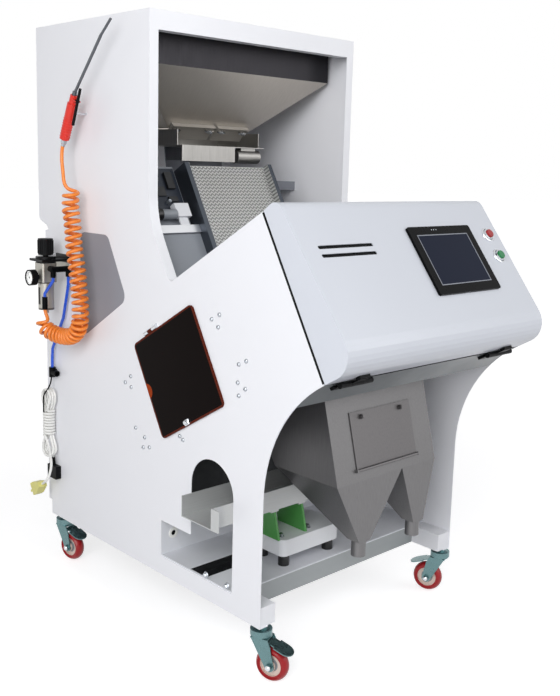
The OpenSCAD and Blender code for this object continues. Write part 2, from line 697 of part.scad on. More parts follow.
module hinge_moving() color(black) place() for (x = [-hinge_x, hinge_x]) hinge_frame(x) {
  difference() {
    union() {
      rotate([0, 90, 0]) cylinder(d = barrel_d, h = hinge_len / 3 - 2 * gap, center = true);
      translate([0, -leaf_len / 2, 0]) cube([hinge_len / 3 - 2 * gap, leaf_len, leaf_t], center = true);
    }
    rotate([0, 90, 0]) cylinder(d = pin_d + 2 * run, h = hinge_len, center = true);
  }
  translate([0, 3 - leaf_len, (barrel_d / 2 + gap) / 2])
    cube([hinge_len / 3 - 2 * gap, 12, barrel_d / 2 + gap], center = true);
}

// Touch screen and push buttons
bezel_t = 6;
bezel_rim = 22;
module screen_bezel() color(black) place() on_face(face_x[0] + screen_w / 2, screen_s + screen_h / 2)
  difference() {
  linear_extrude(bezel_t) rounded_rect(screen_w, screen_h, 5);
  translate([0, 0, 3]) linear_extrude(bezel_t)
    square([screen_w - 2 * bezel_rim, screen_h - 2 * bezel_rim], center = true);
}
module screen_glass() color("#23283a") place()
  on_face(face_x[0] + screen_w / 2, screen_s + screen_h / 2) translate([0, 0, 3])
  linear_extrude(bezel_t - 3.5)
    square([screen_w - 2 * bezel_rim, screen_h - 2 * bezel_rim], center = true);
ring_h = 7;
cap_d = button_d - 9;
module button_bezels() color(chrome) place() for (s = button_s) on_face(face_x[1], s) difference() {
  union() {
    cylinder(d1 = button_d, d2 = button_d - 4, h = ring_h);
    translate([0, 0, -10]) cylinder(d = hole_d - 2 * gap, h = 10);
  }
  translate([0, 0, -6]) cylinder(d = cap_d - 4 + 2 * gap, h = 20);
  translate([0, 0, 1]) cylinder(d = cap_d + 2 * gap, h = ring_h);
}
module button_cap(s) on_face(face_x[1], s) {
  translate([0, 0, 1 + button_travel + gap]) cylinder(d1 = cap_d, d2 = cap_d - 2, h = ring_h - 2);
  translate([0, 0, button_travel - 6 + gap]) cylinder(d = cap_d - 4, h = 8);
}
module stop_button() color("#c4262b") place() button_cap(button_s[0]);
module start_button() color("#138a4a") place() button_cap(button_s[1]);

// Side window: pane hung on a hinge along its upper edge
win_hinge = 52;
win_pin = 4;
win_barrel = 8;
win_off = gap + win_barrel / 2;
module on_window() translate([-half_w, win_c[0], win_c[1]]) rotate([-tilt, 0, 0]) children();
module win_knuckle(x0, x1) translate([-win_off, x0, win_h / 2 + win_barrel / 2 + gap])
  rotate([-90, 0, 0]) cylinder(d = win_barrel, h = x1 - x0);
hinge_at = 45;
module window_pane() color("#2a0f08", 0.85) place() on_window() {
  rotate([90, 0, 90]) translate([0, 0, -gap - win_t]) linear_extrude(win_t)
    rounded_rect(win_w, win_h, 12);
  difference() {
    union() {
      win_knuckle(hinge_at - win_hinge / 6 + gap, hinge_at + win_hinge / 6 - gap);
      box([-gap - win_t, hinge_at - win_hinge / 6 + gap, win_h / 2 - 4],
        [-gap, hinge_at + win_hinge / 6 - gap, win_h / 2 + win_barrel / 2 + gap]);
    }
    translate([-win_off, hinge_at - win_hinge, win_h / 2 + win_barrel / 2 + gap]) rotate([-90, 0, 0])
      cylinder(d = win_pin + 2 * run, h = 2 * win_hinge);
  }
}
module window_hinge() color(chrome) place() on_window() {
  translate([-win_off, hinge_at - win_hinge / 2, win_h / 2 + win_barrel / 2 + gap]) rotate([-90, 0, 0])
    cylinder(d = win_pin, h = win_hinge);
  for (k = [-1, 1]) {
    win_knuckle(hinge_at + k * win_hinge / 3 - win_hinge / 6,
      hinge_at + k * win_hinge / 3 + win_hinge / 6);
    translate([0, hinge_at + k * win_hinge / 3 - win_hinge / 6, win_h / 2 + gap])
      box([-win_off, 0, 0], [0, win_hinge / 3, win_barrel + 3]);
  }
}

// Air supply on the left panel: filter regulator, gauge, fittings and tubes
frl = [-half_w - 50, cab_d - 75];
body_z = [655, 704];
bowl_z = 584;
knob_z = [724, 765];
body_w = 42;
collar_d = 50;
module regulator_body() color("#b9bcc0") place() translate([frl[0], frl[1], 0]) {
  translate([0, 0, body_z[0]]) linear_extrude(body_z[1] - body_z[0]) rounded_rect(body_w, body_w, 6);
  translate([0, 0, bowl_z]) cylinder(d = bowl_d, h = body_z[0] - bowl_z);
  translate([0, 0, bowl_z - 9]) cylinder(d = 12, h = 9);
  translate([0, 0, body_z[1]]) cylinder(d = collar_d, h = 16);
  box([-collar_d / 2 - 3, -32, body_z[1] + 4], [-frl[0] - half_w, 32, body_z[1] + 10]);
  box([-frl[0] - half_w - 3, -32, body_z[1] - 20], [-frl[0] - half_w, 32, body_z[1] + 20]);
}
spindle_d = 14;
ribs = 20;
module regulator_knob() color(black) place() translate([frl[0], frl[1], 0]) {
  translate([0, 0, knob_z[0]]) cylinder(d = knob_d - 2, h = knob_z[1] - knob_z[0]);
  translate([0, 0, body_z[1] + 16 + gap]) cylinder(d = spindle_d, h = knob_z[0] - body_z[1] - 16 - gap);
  for (k = [0 : ribs - 1]) rotate(360 * k / ribs) translate([knob_d / 2 - 1, 0, knob_z[0] + 4])
    cylinder(d = 2.4, h = knob_z[1] - knob_z[0] - 8, $fn = 16);
}
gauge_z = 668;
gauge_h = 17;
module pressure_gauge() color(black) place() translate([frl[0] - body_w / 2, frl[1], gauge_z])
  rotate([0, -90, 0]) {
  cylinder(d = 12, h = 10);
  translate([0, 0, 10]) difference() {
    cylinder(d = gauge_d, h = gauge_h);
    translate([0, 0, gauge_h - 3]) cylinder(d = gauge_d - 5, h = 4);
  }
}
// Tee on the forward port; the outer leg feeds the hose and the inner leg the machine
tee = [frl[1] - body_w / 2, 690];
fit_d = 15;
leg_x = [frl[0] - 4, -half_w - 11];
link = [frl[0] - 18, frl[1] - 25, 604];
feed_end = [-half_w - 11, cab_d - 31, 405];
module air_fittings() color(black) place() {
  translate([frl[0], tee[0], tee[1]]) rotate([90, 0, 0]) cylinder(d = fit_d, h = 22);
  rod([leg_x[0] - 6, tee[0] - 22, tee[1]], [leg_x[1] + 6, tee[0] - 22, tee[1]], fit_d);
  for (x = leg_x) rod([x, tee[0] - 22, tee[1]], [x, tee[0] - 22, tee[1] - 20], fit_d - 2);
  rod(link + [0, 0, 16], link - [0, 0, 16], fit_d - 1);
  difference() {
    union() {
      rod(feed_end + [0, 0, 14], feed_end - [0, 0, 12], fit_d + 3);
      rod(feed_end, feed_end + [11, 0, 0], fit_d + 3);
      rod(feed_end, feed_end - [0, 24, 0], fit_d + 1);
    }
    rod(feed_end - [0, 25, 0], feed_end - [0, 6, 0], air_d + 2 * run);
  }
}
leg_end = tee - [22, 20];
tube_a = [concat([leg_x[0]], leg_end), concat([leg_x[0]], leg_end - [0, 8]),
  (concat([leg_x[0]], leg_end) + link) / 2 + [0, 0, 8],
  link + [0, 0, 24], link + [0, 0, 16]];
tube_b = [concat([leg_x[1]], leg_end), concat([leg_x[1]], leg_end - [0, 20]),
  [leg_x[1], leg_end[0] + 27, leg_end[1] - 110],
  feed_end + [0, -3, 65], feed_end + [0, 0, 35], feed_end + [0, 0, 22], feed_end + [0, 0, 14]];
module air_tubes() color("#2456d6") place() {
  sweep(tube_a, air_d);
  sweep(tube_b, air_d);
}

// Blow gun on its hook, and the spiral hose that hangs from it in a long loop
gun_x = -half_w - 44;
gun_top = [645, 1113];
gun_low = [692, 1012];
gun_d = 24;
grip = unit(gun_top - gun_low);
function gun_at(s, n = 0) = concat([gun_x], gun_low + s * grip + n * [-grip[1], grip[0]]);
gun_len = norm(gun_top - gun_low);
hook_s = 66;
hook_d = 6;
pivot_s = gun_len - 8;
pivot_n = 18;
trig_pin = 3;
trig_w = 9;
function side_at(s, n, x) = gun_at(s, n) + [x, 0, 0];
module gun_body() color("#e23a2c") place() {
  difference() {
    rod(gun_at(0), gun_at(gun_len - 21), gun_d);
    rod(side_at(hook_s, 0, 3), side_at(hook_s, 0, gun_d), hook_d + 2 * run);
  }
  rod(gun_at(gun_len - 22), gun_at(gun_len), gun_d - 6);
  rod(gun_at(-12), gun_at(1), gun_d - 11);
  for (x = [-1, 1]) rod(side_at(pivot_s, 0, x * (trig_w / 2 + gap + 1.5)),
    side_at(pivot_s, pivot_n + 3, x * (trig_w / 2 + gap + 1.5)), 3);
  rod(side_at(pivot_s, pivot_n, -trig_w / 2 - 3), side_at(pivot_s, pivot_n, trig_w / 2 + 3), trig_pin);
}
noz_bend = [528, 1240];
noz_tip = [488, 1272];
noz_d = 7;
module gun_nozzle() color(dark_steel) place() {
  rod(gun_at(gun_len), gun_at(gun_len + 9), noz_d + 4);
  rod(gun_at(gun_len + 5), concat([gun_x], noz_bend), noz_d);
  rod(concat([gun_x], noz_bend - 5 * unit(noz_tip - noz_bend)), concat([gun_x], noz_tip), noz_d - 0.8);
}
lever_s = [gun_len - 66, gun_len + 24];
module gun_trigger() color(black) place() difference() {
  union() {
    rod(gun_at(lever_s[0], pivot_n + 5), gun_at(lever_s[1], pivot_n + 1), 7);
    rod(side_at(pivot_s, pivot_n, -trig_w / 2), side_at(pivot_s, pivot_n, trig_w / 2), 8);
  }
  rod(side_at(pivot_s, pivot_n, -trig_w), side_at(pivot_s, pivot_n, trig_w), trig_pin + 2 * run);
}
module gun_hook() color(chrome) place()
  rod(side_at(hook_s, 0, 3), side_at(hook_s, 0, -half_w - gun_x), hook_d);
hose_x = gun_x - 2;
coil_drop = [[661, 890], [664, 849], [659, 826], [653, 789], [648, 746], [638, 709], [630, 662],
  [624, 620], [624, 580],
  [634, 553], [660, 533], [696, 525]];
coil_pts = concat([for (p = coil_drop) concat([hose_x], p)],
  [[hose_x - 6, 725, 526], [hose_x - 14, 745, 532], [link[0], 757, 543], [link[0], link[1] + 4, 557]]);
coil_end = len(coil_pts) - 1;
lead_in = 14;
coil_in = coil_pts[0] + lead_in * unit(coil_pts[0] - coil_pts[1]);
coil_out = coil_pts[coil_end] + lead_in * unit(coil_pts[coil_end] - coil_pts[coil_end - 1]);
tail_pts = [gun_at(-12), gun_at(-26), [hose_x, 702, 962], [hose_x, 692, 930], coil_in, coil_pts[0]];
end_pts = [coil_pts[coil_end], coil_out, link - [0, 0, 22], link - [0, 0, 16]];
module hose_tail() color("#f58a3c") place() {
  sweep(tail_pts, hose_d);
  sweep(end_pts, hose_d);
}
module hose_coil() color("#f58a3c") place() sweep(coil_pts, coil_d);

// Mains lead: inlet box with its strain relief, the wrapped hank above it, and the plug on its tail
inlet = [[-half_w - 16, cab_d - 50, 112], [-half_w, cab_d - 6, 147]];
relief_h = 21;
hank_off = 0.3;
hank = [36, 60, 198];
hank_c = [-half_w - hank_off - hank[0] / 2, cab_d - 23, inlet[1][2] + relief_h + hank[2] / 2];
cord_d = 7;
cord_run = [[24, -15, 173], [24, -18, 160], [27, -21, 145], [32, -22, 130], [37, -19, 116],
  [40, -11, 107], [40, 3, 98]];
cord_pts = [for (p = cord_run) [-half_w - p[0], hank_c[1] + p[1], p[2]]];
cord_end = cord_pts[len(cord_pts) - 1];
plug_dip = atan2(9, 14);
plug_w = 24;
plug_pts = [[0, -7], [0, 7], [28, 17], [44, 17], [44, -17], [28, -17]];
blade = [2, 17, 6];
module cord_inlet() color(black) place() {
  box(inlet[0], inlet[1]);
  translate([inlet[0][0] + 8, hank_c[1], inlet[1][2]]) cylinder(d1 = 13, d2 = 9, h = relief_h);
}
module cord_hank() color("#f4f4f2") place() translate(hank_c) rotate([90, 0, 90])
  translate([0, 0, -hank[0] / 2])
  linear_extrude(hank[0]) rounded_rect(hank[1], hank[2], hank[1] / 2 - 1);
module cord_tail() color("#f4f4f2") place() sweep(cord_pts, cord_d);
module power_plug() color("#e6de7a") place() translate(cord_end) rotate([-plug_dip, 0, 0]) {
  along_x(-plug_w / 2, plug_w / 2) polygon(plug_pts);
  for (z = [-9, 9]) translate([0, 44, z])
    box([-blade[0] / 2 + 4, -1, -blade[2] / 2], [blade[0] / 2 + 4, blade[1], blade[2] / 2]);
  translate([-5, 43, 0])
    box([-blade[0] / 2, 0, -blade[2] / 2], [blade[0] / 2, blade[1] + 4, blade[2] / 2]);
}

// Casters: fork with stem and axle, wheel, and brake pedal, each turned to its own heading
casters = [[-1, 0, -69], [1, 0, 111], [-1, 1, -80], [1, 1, -80]];
axle_z = wheel_d / 2;
axle_d = 8;
race_d = 48;
fork_z = caster_h - 23;
leg_y = [wheel_w / 2 + 3, wheel_w / 2 + 5.5];
pivot = [20, fork_z - 10];
pivot_d = 5;
module at_caster(i) translate([casters[i][0] * stem_x, stem_ys[casters[i][1]] - cab_d / 2, 0])
  rotate(casters[i][2]) children();
module fork_leg() rotate([90, 0, 0]) linear_extrude(leg_y[1] - leg_y[0]) {
  translate([trail, axle_z]) circle(11);
  polygon([[-17, fork_z + 1], [22, fork_z + 1], [30, fork_z - 14], [trail + 11, axle_z],
    [trail - 10, axle_z - 4]]);
}
module fork(i) color(zinc) at_caster(i) {
  translate([0, 0, fork_z + 4]) cylinder(d = race_d, h = 13);
  translate([0, 0, fork_z]) cylinder(d = race_d - 6, h = 4);
  translate([0, 0, fork_z + 17]) cylinder(d = 2 * stem_d, h = caster_h - fork_z - 17 - gap, $fn = 6);
  translate([0, 0, caster_h - 1]) cylinder(d = stem_d, h = stem_up);
  box([-17, -leg_y[1], fork_z - 2], [22, leg_y[1], fork_z + 1]);
  translate([0, -leg_y[0], 0]) fork_leg();
  translate([0, leg_y[1], 0]) fork_leg();
  translate([trail, 0, axle_z]) rotate([90, 0, 0]) cylinder(d = axle_d, h = 2 * leg_y[1], center = true);
  for (y = [-1, 1]) translate([trail, y * (leg_y[1] + 3), axle_z]) rotate([90, 0, 0])
    cylinder(d = 15, h = 6, center = true, $fn = 6);
  translate([pivot[0], 0, pivot[1]]) rotate([90, 0, 0])
    cylinder(d = pivot_d, h = 2 * leg_y[1], center = true);
}
hub_w = 2 * leg_y[0] - 1;
module wheel(i) color("#c22a2c") at_caster(i) translate([trail, 0, axle_z]) rotate([90, 0, 0])
  rotate_extrude($fn = 64) {
  translate([axle_d / 2 + run, -hub_w / 2]) square([8, hub_w]);
  translate([axle_d / 2 + run, -wheel_w / 4]) square([wheel_d / 2 - 8, wheel_w / 2]);
  translate([wheel_d / 2 - 14, -wheel_w / 2 + 2]) square([8, wheel_w - 4]);
  intersection() {
    translate([wheel_d / 2 - 17, 0]) circle(17);
    translate([wheel_d / 2 - 8, -wheel_w / 2]) square([8, wheel_w]);
  }
}
pedal_slope = 20;
pedal_len = 58;
pedal_in = 2 * leg_y[0] - 2 * gap;
module pedal(i) color(zinc) at_caster(i) translate([pivot[0], 0, pivot[1]]) difference() {
  union() {
    rotate([90, 0, 0]) cylinder(d = pivot_d + 6, h = pedal_in, center = true);
    rotate([0, pedal_slope, 0]) translate([0, 0, pivot_d / 2 + 0.6]) linear_extrude(2.4) {
      translate([1, 1 - pedal_in / 2]) square([24, pedal_in - 2]);
      translate([18, -20]) square([pedal_len - 36, 40]);
      translate([pedal_len - 20, 0]) circle(20);
    }
  }
  rotate([90, 0, 0]) cylinder(d = pivot_d + 2 * run, h = 2 * pedal_in, center = true);
}

left_panel();
right_panel();
top_frame();
rear_cover();
base_frame();
base_plate();
side_cover();
underside_panel();
feed_hopper();
feed_gate_left();
feed_gate_right();
feeder_trough();
feeder_drive();
chute();
optics_boxes();
optics_glass();
camera_unit();
ejector_manifold();
outlet_hopper();
outlet_door();
discharge_tray();
discharge_springs();
discharge_base();
console_cover();
hinge_fixed();
hinge_moving();
screen_bezel();
screen_glass();
button_bezels();
stop_button();
start_button();
window_pane();
window_hinge();
regulator_body();
regulator_knob();
pressure_gauge();
air_fittings();
air_tubes();
gun_body();
gun_nozzle();
gun_trigger();
gun_hook();
hose_tail();
hose_coil();
cord_inlet();
cord_hank();
cord_tail();
power_plug();
fork(0);  // fork_fl
fork(1);  // fork_fr
fork(2);  // fork_rl
fork(3);  // fork_rr
wheel(0);  // wheel_fl
wheel(1);  // wheel_fr
wheel(2);  // wheel_rl
wheel(3);  // wheel_rr
pedal(0);  // pedal_fl
pedal(1);  // pedal_fr
pedal(2);  // pedal_rl
pedal(3);  // pedal_rr
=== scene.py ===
"""Looks of the optical colour sorter: materials, small parts, hose, mains lead, light and camera.

Lengths are written in millimetres in the machine frame, where y runs back from the front legs
and z up from the panels' lower edge; at() turns them into metres in the shared frame.
"""

import math

import bmesh
import bpy
from mathutils import Matrix, Vector


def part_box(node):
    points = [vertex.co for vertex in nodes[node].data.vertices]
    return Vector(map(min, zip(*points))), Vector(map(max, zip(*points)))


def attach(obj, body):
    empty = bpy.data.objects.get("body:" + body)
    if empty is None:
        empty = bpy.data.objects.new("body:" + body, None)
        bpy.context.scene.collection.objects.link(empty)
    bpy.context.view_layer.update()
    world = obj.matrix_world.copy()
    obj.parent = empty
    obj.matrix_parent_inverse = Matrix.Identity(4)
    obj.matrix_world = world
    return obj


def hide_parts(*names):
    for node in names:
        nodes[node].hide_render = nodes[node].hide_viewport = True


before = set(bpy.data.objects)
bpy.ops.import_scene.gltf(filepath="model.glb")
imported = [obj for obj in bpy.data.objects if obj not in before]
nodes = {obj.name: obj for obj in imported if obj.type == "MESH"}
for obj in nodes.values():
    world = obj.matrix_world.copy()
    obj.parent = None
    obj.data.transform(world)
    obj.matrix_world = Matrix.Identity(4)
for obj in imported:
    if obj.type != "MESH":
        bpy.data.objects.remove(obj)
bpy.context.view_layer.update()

# Machine frame
CAB_D = 856
CASTER_H = 118
HALF_W = 330
TILT = math.radians(30)
FACE_TILT = math.radians(37)


def at(x, y, z):
    """Millimetres in the machine frame to metres in the shared frame."""
    return Vector((x, y - CAB_D / 2, z + CASTER_H)) / 1000


def mm(*values):
    return Vector(values) / 1000


AT_MACHINE = Matrix.Translation(at(0, 0, 0))


def frame_at(origin, x_axis, y_axis):
    """Matrix with that origin, in metres, and those axes; z completes them."""
    x, y = Vector(x_axis).normalized(), Vector(y_axis).normalized()
    z = x.cross(y)
    made = Matrix((x, y, z)).transposed().to_4x4()
    made.translation = origin
    return made


UP_T = Vector((0, math.sin(TILT), math.cos(TILT)))
BACK_T = Vector((0, math.cos(TILT), -math.sin(TILT)))
FACE_UP = Vector((0, math.sin(FACE_TILT), math.cos(FACE_TILT)))
FACE_TOP = (-17.6, 901.9)


def on_face(x, s):
    """Frame on the console face, s below its top edge: x across, y up the face, z outwards."""
    origin = at(x, FACE_TOP[0] - s * FACE_UP.y, FACE_TOP[1] - s * FACE_UP.z)
    return frame_at(origin, (1, 0, 0), FACE_UP)


def on_left(y, z, x=-HALF_W):
    """Frame on the left panel: x forwards, y up, z outwards."""
    return frame_at(at(x, y, z), (0, 1, 0), (0, 0, 1)) @ Matrix.Rotation(math.pi, 4, "Y")


# Camera, solved from the cabinet's straight edges
CAMERA_AT = at(-1545.67, -1313.47, 958.88)
CAMERA_YAW = math.radians(43.412)
CAMERA_PITCH = math.radians(9.903)
CAMERA_ROLL = math.radians(1.589)
CAMERA_LENS = 47.46
CAMERA_SHIFT = (0.0040, -0.0298)


def make_camera():
    forward = Vector(
        (
            math.sin(CAMERA_YAW) * math.cos(CAMERA_PITCH),
            math.cos(CAMERA_YAW) * math.cos(CAMERA_PITCH),
            -math.sin(CAMERA_PITCH),
        )
    )
    level = Vector((math.cos(CAMERA_YAW), -math.sin(CAMERA_YAW), 0))
    upright = level.cross(forward)
    right = level * math.cos(CAMERA_ROLL) + upright * math.sin(CAMERA_ROLL)
    camera = bpy.data.objects.new("camera", bpy.data.cameras.new("camera"))
    up = upright * math.cos(CAMERA_ROLL) - level * math.sin(CAMERA_ROLL)
    camera.matrix_world = frame_at(CAMERA_AT, right, up)
    camera.data.sensor_width = 36
    camera.data.lens = CAMERA_LENS
    camera.data.shift_x, camera.data.shift_y = CAMERA_SHIFT
    bpy.context.scene.collection.objects.link(camera)
    bpy.context.scene.camera = camera


def linear(colour):
    """Linear RGBA of a colour written as #rrggbb."""
    parts = [int(colour[i : i + 2], 16) / 255 for i in (1, 3, 5)]
    return [c / 12.92 if c <= 0.04045 else ((c + 0.055) / 1.055) ** 2.4 for c in parts] + [1]


class Look:
    """A material being built: a Principled shader and the nodes that feed it."""

    def __init__(self, name, colour, rough=0.5, metal=0.0, **sockets):
        self.mat = bpy.data.materials.new(name)
        self.mat.use_nodes = True
        self.tree = self.mat.node_tree
        self.shader = self.tree.nodes["Principled BSDF"]
        self.base = linear(colour)
        self.set("Base Color", self.base)
        self.set("Roughness", rough)
        self.set("Metallic", metal)
        for socket, value in sockets.items():
            self.set(socket.replace("_", " "), value)

    def set(self, socket, value):
        if hasattr(value, "is_linked"):
            self.tree.links.new(value, self.shader.inputs[socket])
        else:
            self.shader.inputs[socket].default_value = value

    def node(self, kind, inputs=(), **settings):
        made = self.tree.nodes.new(kind)
        for key, value in settings.items():
            setattr(made, key, value)
        for key, value in dict(inputs).items():
            if hasattr(value, "is_linked"):
                self.tree.links.new(value, made.inputs[key])
            else:
                made.inputs[key].default_value = value
        return made

    def coords(self, stretch=(1, 1, 1), placed=None):
        """Object coordinates, stretched, or in a frame that is placed on the object."""
        found = self.node("ShaderNodeTexCoord").outputs["Object"]
        if placed is not None:
            inverse = placed.inverted()
            turned = inverse.to_euler()
            inputs = {"Vector": found, "Location": inverse.translation, "Rotation": turned}
            found = self.node("ShaderNodeMapping", inputs).outputs["Vector"]
        if tuple(stretch) != (1, 1, 1):
            inputs = {"Vector": found, "Scale": stretch}
            found = self.node("ShaderNodeMapping", inputs).outputs["Vector"]
        return found

    def axis(self, letter, coords=None):
        source = self.coords() if coords is None else coords
        return self.node("ShaderNodeSeparateXYZ", {0: source}).outputs[letter.upper()]

    def math(self, operation, a, b=0.0):
        return self.node("ShaderNodeMath", {0: a, 1: b}, operation=operation).outputs[0]

    def inside(self, value, low, high):
        above = self.math("GREATER_THAN", value, low)
        below = self.math("LESS_THAN", value, high)
        return self.math("MULTIPLY", above, below)

    def noise(self, scale, detail=2.0, stretch=(1, 1, 1)):
        inputs = {"Vector": self.coords(stretch), "Scale": scale, "Detail": detail}
        return self.node("ShaderNodeTexNoise", inputs).outputs["Fac"]

    def spread(self, value, low, high, start=0.3, end=0.7):
        inputs = {0: value, 1: start, 2: end, 3: low, 4: high}
        return self.node("ShaderNodeMapRange", inputs).outputs[0]

    def paint(self, factor, colour):
        """Lay a colour over the base where the factor is 1."""
        inputs = {0: factor, 6: self.base, 7: linear(colour)}
        self.base = self.node("ShaderNodeMix", inputs, data_type="RGBA").outputs[2]
        self.set("Base Color", self.base)
        return self

    def tint(self, factor, amount):
        """Darken the base by up to that share where the factor is 1."""
        dark = [1 - amount] * 3 + [1]
        inputs = {0: factor, 6: self.base, 7: dark}
        made = self.node("ShaderNodeMix", inputs, data_type="RGBA", blend_type="MULTIPLY")
        self.base = made.outputs[2]
        self.set("Base Color", self.base)
        return self

    def bump(self, height, strength, depth):
        inputs = {"Height": height, "Strength": strength, "Distance": depth}
        self.set("Normal", self.node("ShaderNodeBump", inputs).outputs["Normal"])
        return self


def powder(name, colour, rough=0.4):
    """Powder coat: orange peel, faint cloudiness and uneven gloss."""
    look = Look(name, colour, rough, Coat_Weight=0.15, Coat_Roughness=0.25)
    look.tint(look.noise(2.5, 3), 0.035)
    look.set("Roughness", look.spread(look.noise(9, 4), rough - 0.06, rough + 0.08))
    return look.bump(look.noise(420, 2), 0.06, 0.0006)


def brushed(name, colour, rough=0.34, stretch=(1, 60, 60), streak=0.2):
    """Brushed sheet metal with its grain along the axis that is stretched least."""
    look = Look(name, colour, rough, 1.0)
    grain = look.noise(14, 5, stretch)
    look.tint(grain, streak)
    look.tint(look.noise(3, 3), 0.12)
    look.set("Roughness", look.spread(grain, rough - 0.08, rough + 0.12))
    return look.bump(grain, 0.05, 0.0004)


def cast(name, colour, rough=0.45, metal=0.0, grain=500, depth=0.08):
    """Moulded or cast surface with a fine grain."""
    look = Look(name, colour, rough, metal)
    look.tint(look.noise(24, 3), 0.08)
    look.set("Roughness", look.spread(look.noise(60, 3), rough - 0.07, rough + 0.1))
    return look.bump(look.noise(grain, 2), depth, 0.0005)


WHITE = "#f2f3f8"
BLACK = "#0e0f11"
STEEL = "#a3a19e"
CHROME = "#d9dce0"

white_paint = powder("white_paint", WHITE)
# Bluish grey paint of the console cover, made darker than the white panels as painted shade of the
# tilted face
console_paint_shaded = powder("console_paint_shaded", "#d4d8e1", 0.36)
# Painted shade: the underside panel's paint is a mid grey, for the shade under the console
underside_painted_shade = powder("underside_painted_shade", "#6a6f72")
grey_paint = powder("grey_paint", "#8d9099", 0.5)
bay_grey = powder("bay_grey", "#8f949c", 0.5)
sheet_steel = brushed("sheet_steel", STEEL, 0.36, (60, 60, 1.5))
hopper_steel = brushed("hopper_steel", "#c4beb6", 0.42, (60, 4, 1.5), 0.12)
# Painted shade: a dark grey band on the rim above z 1.305 m, for the shade and dark reflections on the
# rim's front face under the rail
hopper_steel.paint(hopper_steel.math("GREATER_THAN", hopper_steel.axis("z"), 1.305), "#343336")
# Painted shade: the outlet hopper's steel is darkened for the shade under the console
outlet_steel_shaded = brushed("outlet_steel_shaded", "#7c7b7c", 0.42, (60, 60, 1.5), 0.14)
gate_steel = brushed("gate_steel", "#b5b1ab", 0.4)
gate_steel.set("Metallic", 0.6)
chrome = brushed("chrome", CHROME, 0.12, (8, 8, 8), 0.05)
black_plastic = cast("black_plastic", BLACK, 0.42)
black_plastic.set("Specular IOR Level", 0.1)
gloss_black = cast("gloss_black", "#07080a", 0.3, grain=300, depth=0.02)
gloss_black.set("Specular IOR Level", 0.06)
spring_green = cast("spring_green", "#4f9a4c", 0.4)
stop_red = cast("stop_red", "#a5161c", 0.34)
start_green = cast("start_green", "#0b7c44", 0.34)
gun_red = cast("gun_red", "#df2f22", 0.32)
tube_blue = cast("tube_blue", "#2459d8", 0.25, depth=0.02)
hose_orange = cast("hose_orange", "#f58a30", 0.28, depth=0.03)
cord_white = cast("cord_white", "#f1f1ee", 0.45)
zinc = cast("zinc", "#6d8b8d", 0.26, 0.9)
screw_steel = cast("screw_steel", "#b4b8bd", 0.25, 1.0)


def chute_look():
    """Slide embossed with rows of chevrons, between dark rails on bright bars."""
    look = Look("chute_steel", "#c6c7c6", 0.34, 0.85)
    slide = look.coords(placed=frame_at(at(0, 531, 956), (1, 0, 0), UP_T))
    zigzag = look.math("PINGPONG", look.axis("x", slide), 0.0062)
    rows = look.math("MULTIPLY", look.math("ADD", look.axis("y", slide), zigzag), 2 * math.pi / 0.0094)
    ridge = look.math("SINE", rows)
    # Painted shade: the troughs between the chevron ridges are darkened, on top of the bump
    look.tint(look.spread(ridge, 1, 0, -0.7, 0.5), 0.62)
    look.tint(look.noise(30, 3), 0.1)
    across = look.math("ABSOLUTE", look.axis("x"))
    look.paint(look.inside(across, 0.1315, 0.1455), "#4b5058")
    look.paint(look.math("GREATER_THAN", across, 0.1455), "#d3d5d8")
    plain = look.math("LESS_THAN", across, 0.131)
    return look.bump(look.math("MULTIPLY", ridge, plain), 0.5, 0.0014)


def window_look():
    """Dark acrylic, with its edge and a finger notch glowing red brown."""
    look = Look("tinted_acrylic", "#0b0403", 0.2, Specular_IOR_Level=0.03)
    pane = look.coords(placed=frame_at(at(-HALF_W, 290, 499), BACK_T, UP_T))
    along, across = look.axis("x", pane), look.axis("y", pane)
    rim_y = look.math("GREATER_THAN", look.math("ABSOLUTE", along), 0.1205)
    rim_z = look.math("GREATER_THAN", look.math("ABSOLUTE", across), 0.113)
    look.paint(look.math("MAXIMUM", rim_y, rim_z), "#5a2316")
    off = look.math("SUBTRACT", along, 0.126)
    reach = look.math("ADD", look.math("MULTIPLY", off, off), look.math("MULTIPLY", across, across))
    look.paint(look.math("LESS_THAN", reach, 0.018**2), "#9a3a10")
    look.set("Roughness", look.spread(look.noise(20, 3), 0.16, 0.24))
    return look


def wheel_look(node):
    """Red polyurethane round a grey bearing, in the wheel's own frame."""
    low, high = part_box(node)
    look = Look("wheel_red_" + node, "#a3161c", 0.3, Specular_IOR_Level=0.4)
    hub = look.coords(placed=Matrix.Translation((low + high) / 2))
    reach = look.node("ShaderNodeVectorMath", {0: hub}, operation="LENGTH").outputs["Value"]
    look.tint(look.noise(30, 3), 0.12)
    look.paint(look.math("LESS_THAN", reach, 0.0265), "#d9c7bd")
    look.paint(look.math("LESS_THAN", reach, 0.0165), "#8b8f93")
    return look.bump(look.noise(260, 3), 0.08, 0.0006)


def display_look():
    """Dark screen with a faint glow and fine cloudiness."""
    look = Look("display", "#121623", 0.3, Specular_IOR_Level=0.05)
    look.tint(look.noise(12, 2), 0.15)
    look.set("Emission Color", linear("#222a40"))
    look.set("Emission Strength", 0.3)
    return look


def tray_look():
    """Bright mill-finish sheet."""
    look = brushed("tray_steel", "#c9cbcb", 0.45, (1.5, 60, 60), 0.12)
    look.set("Metallic", 0.55)
    return look


def banded(name, colour, letter, bands, rough=0.4, metal=0.0, grain=400):
    """One material whose colour changes by position: bands are (low, high, colour) in mm."""
    look = cast(name, colour, rough, metal, grain)
    value = look.axis(letter)
    shift = {"x": 0, "y": -CAB_D / 2, "z": CASTER_H}[letter]
    for low, high, painted in bands:
        look.paint(look.inside(value, (low + shift) / 1000, (high + shift) / 1000), painted)
    return look


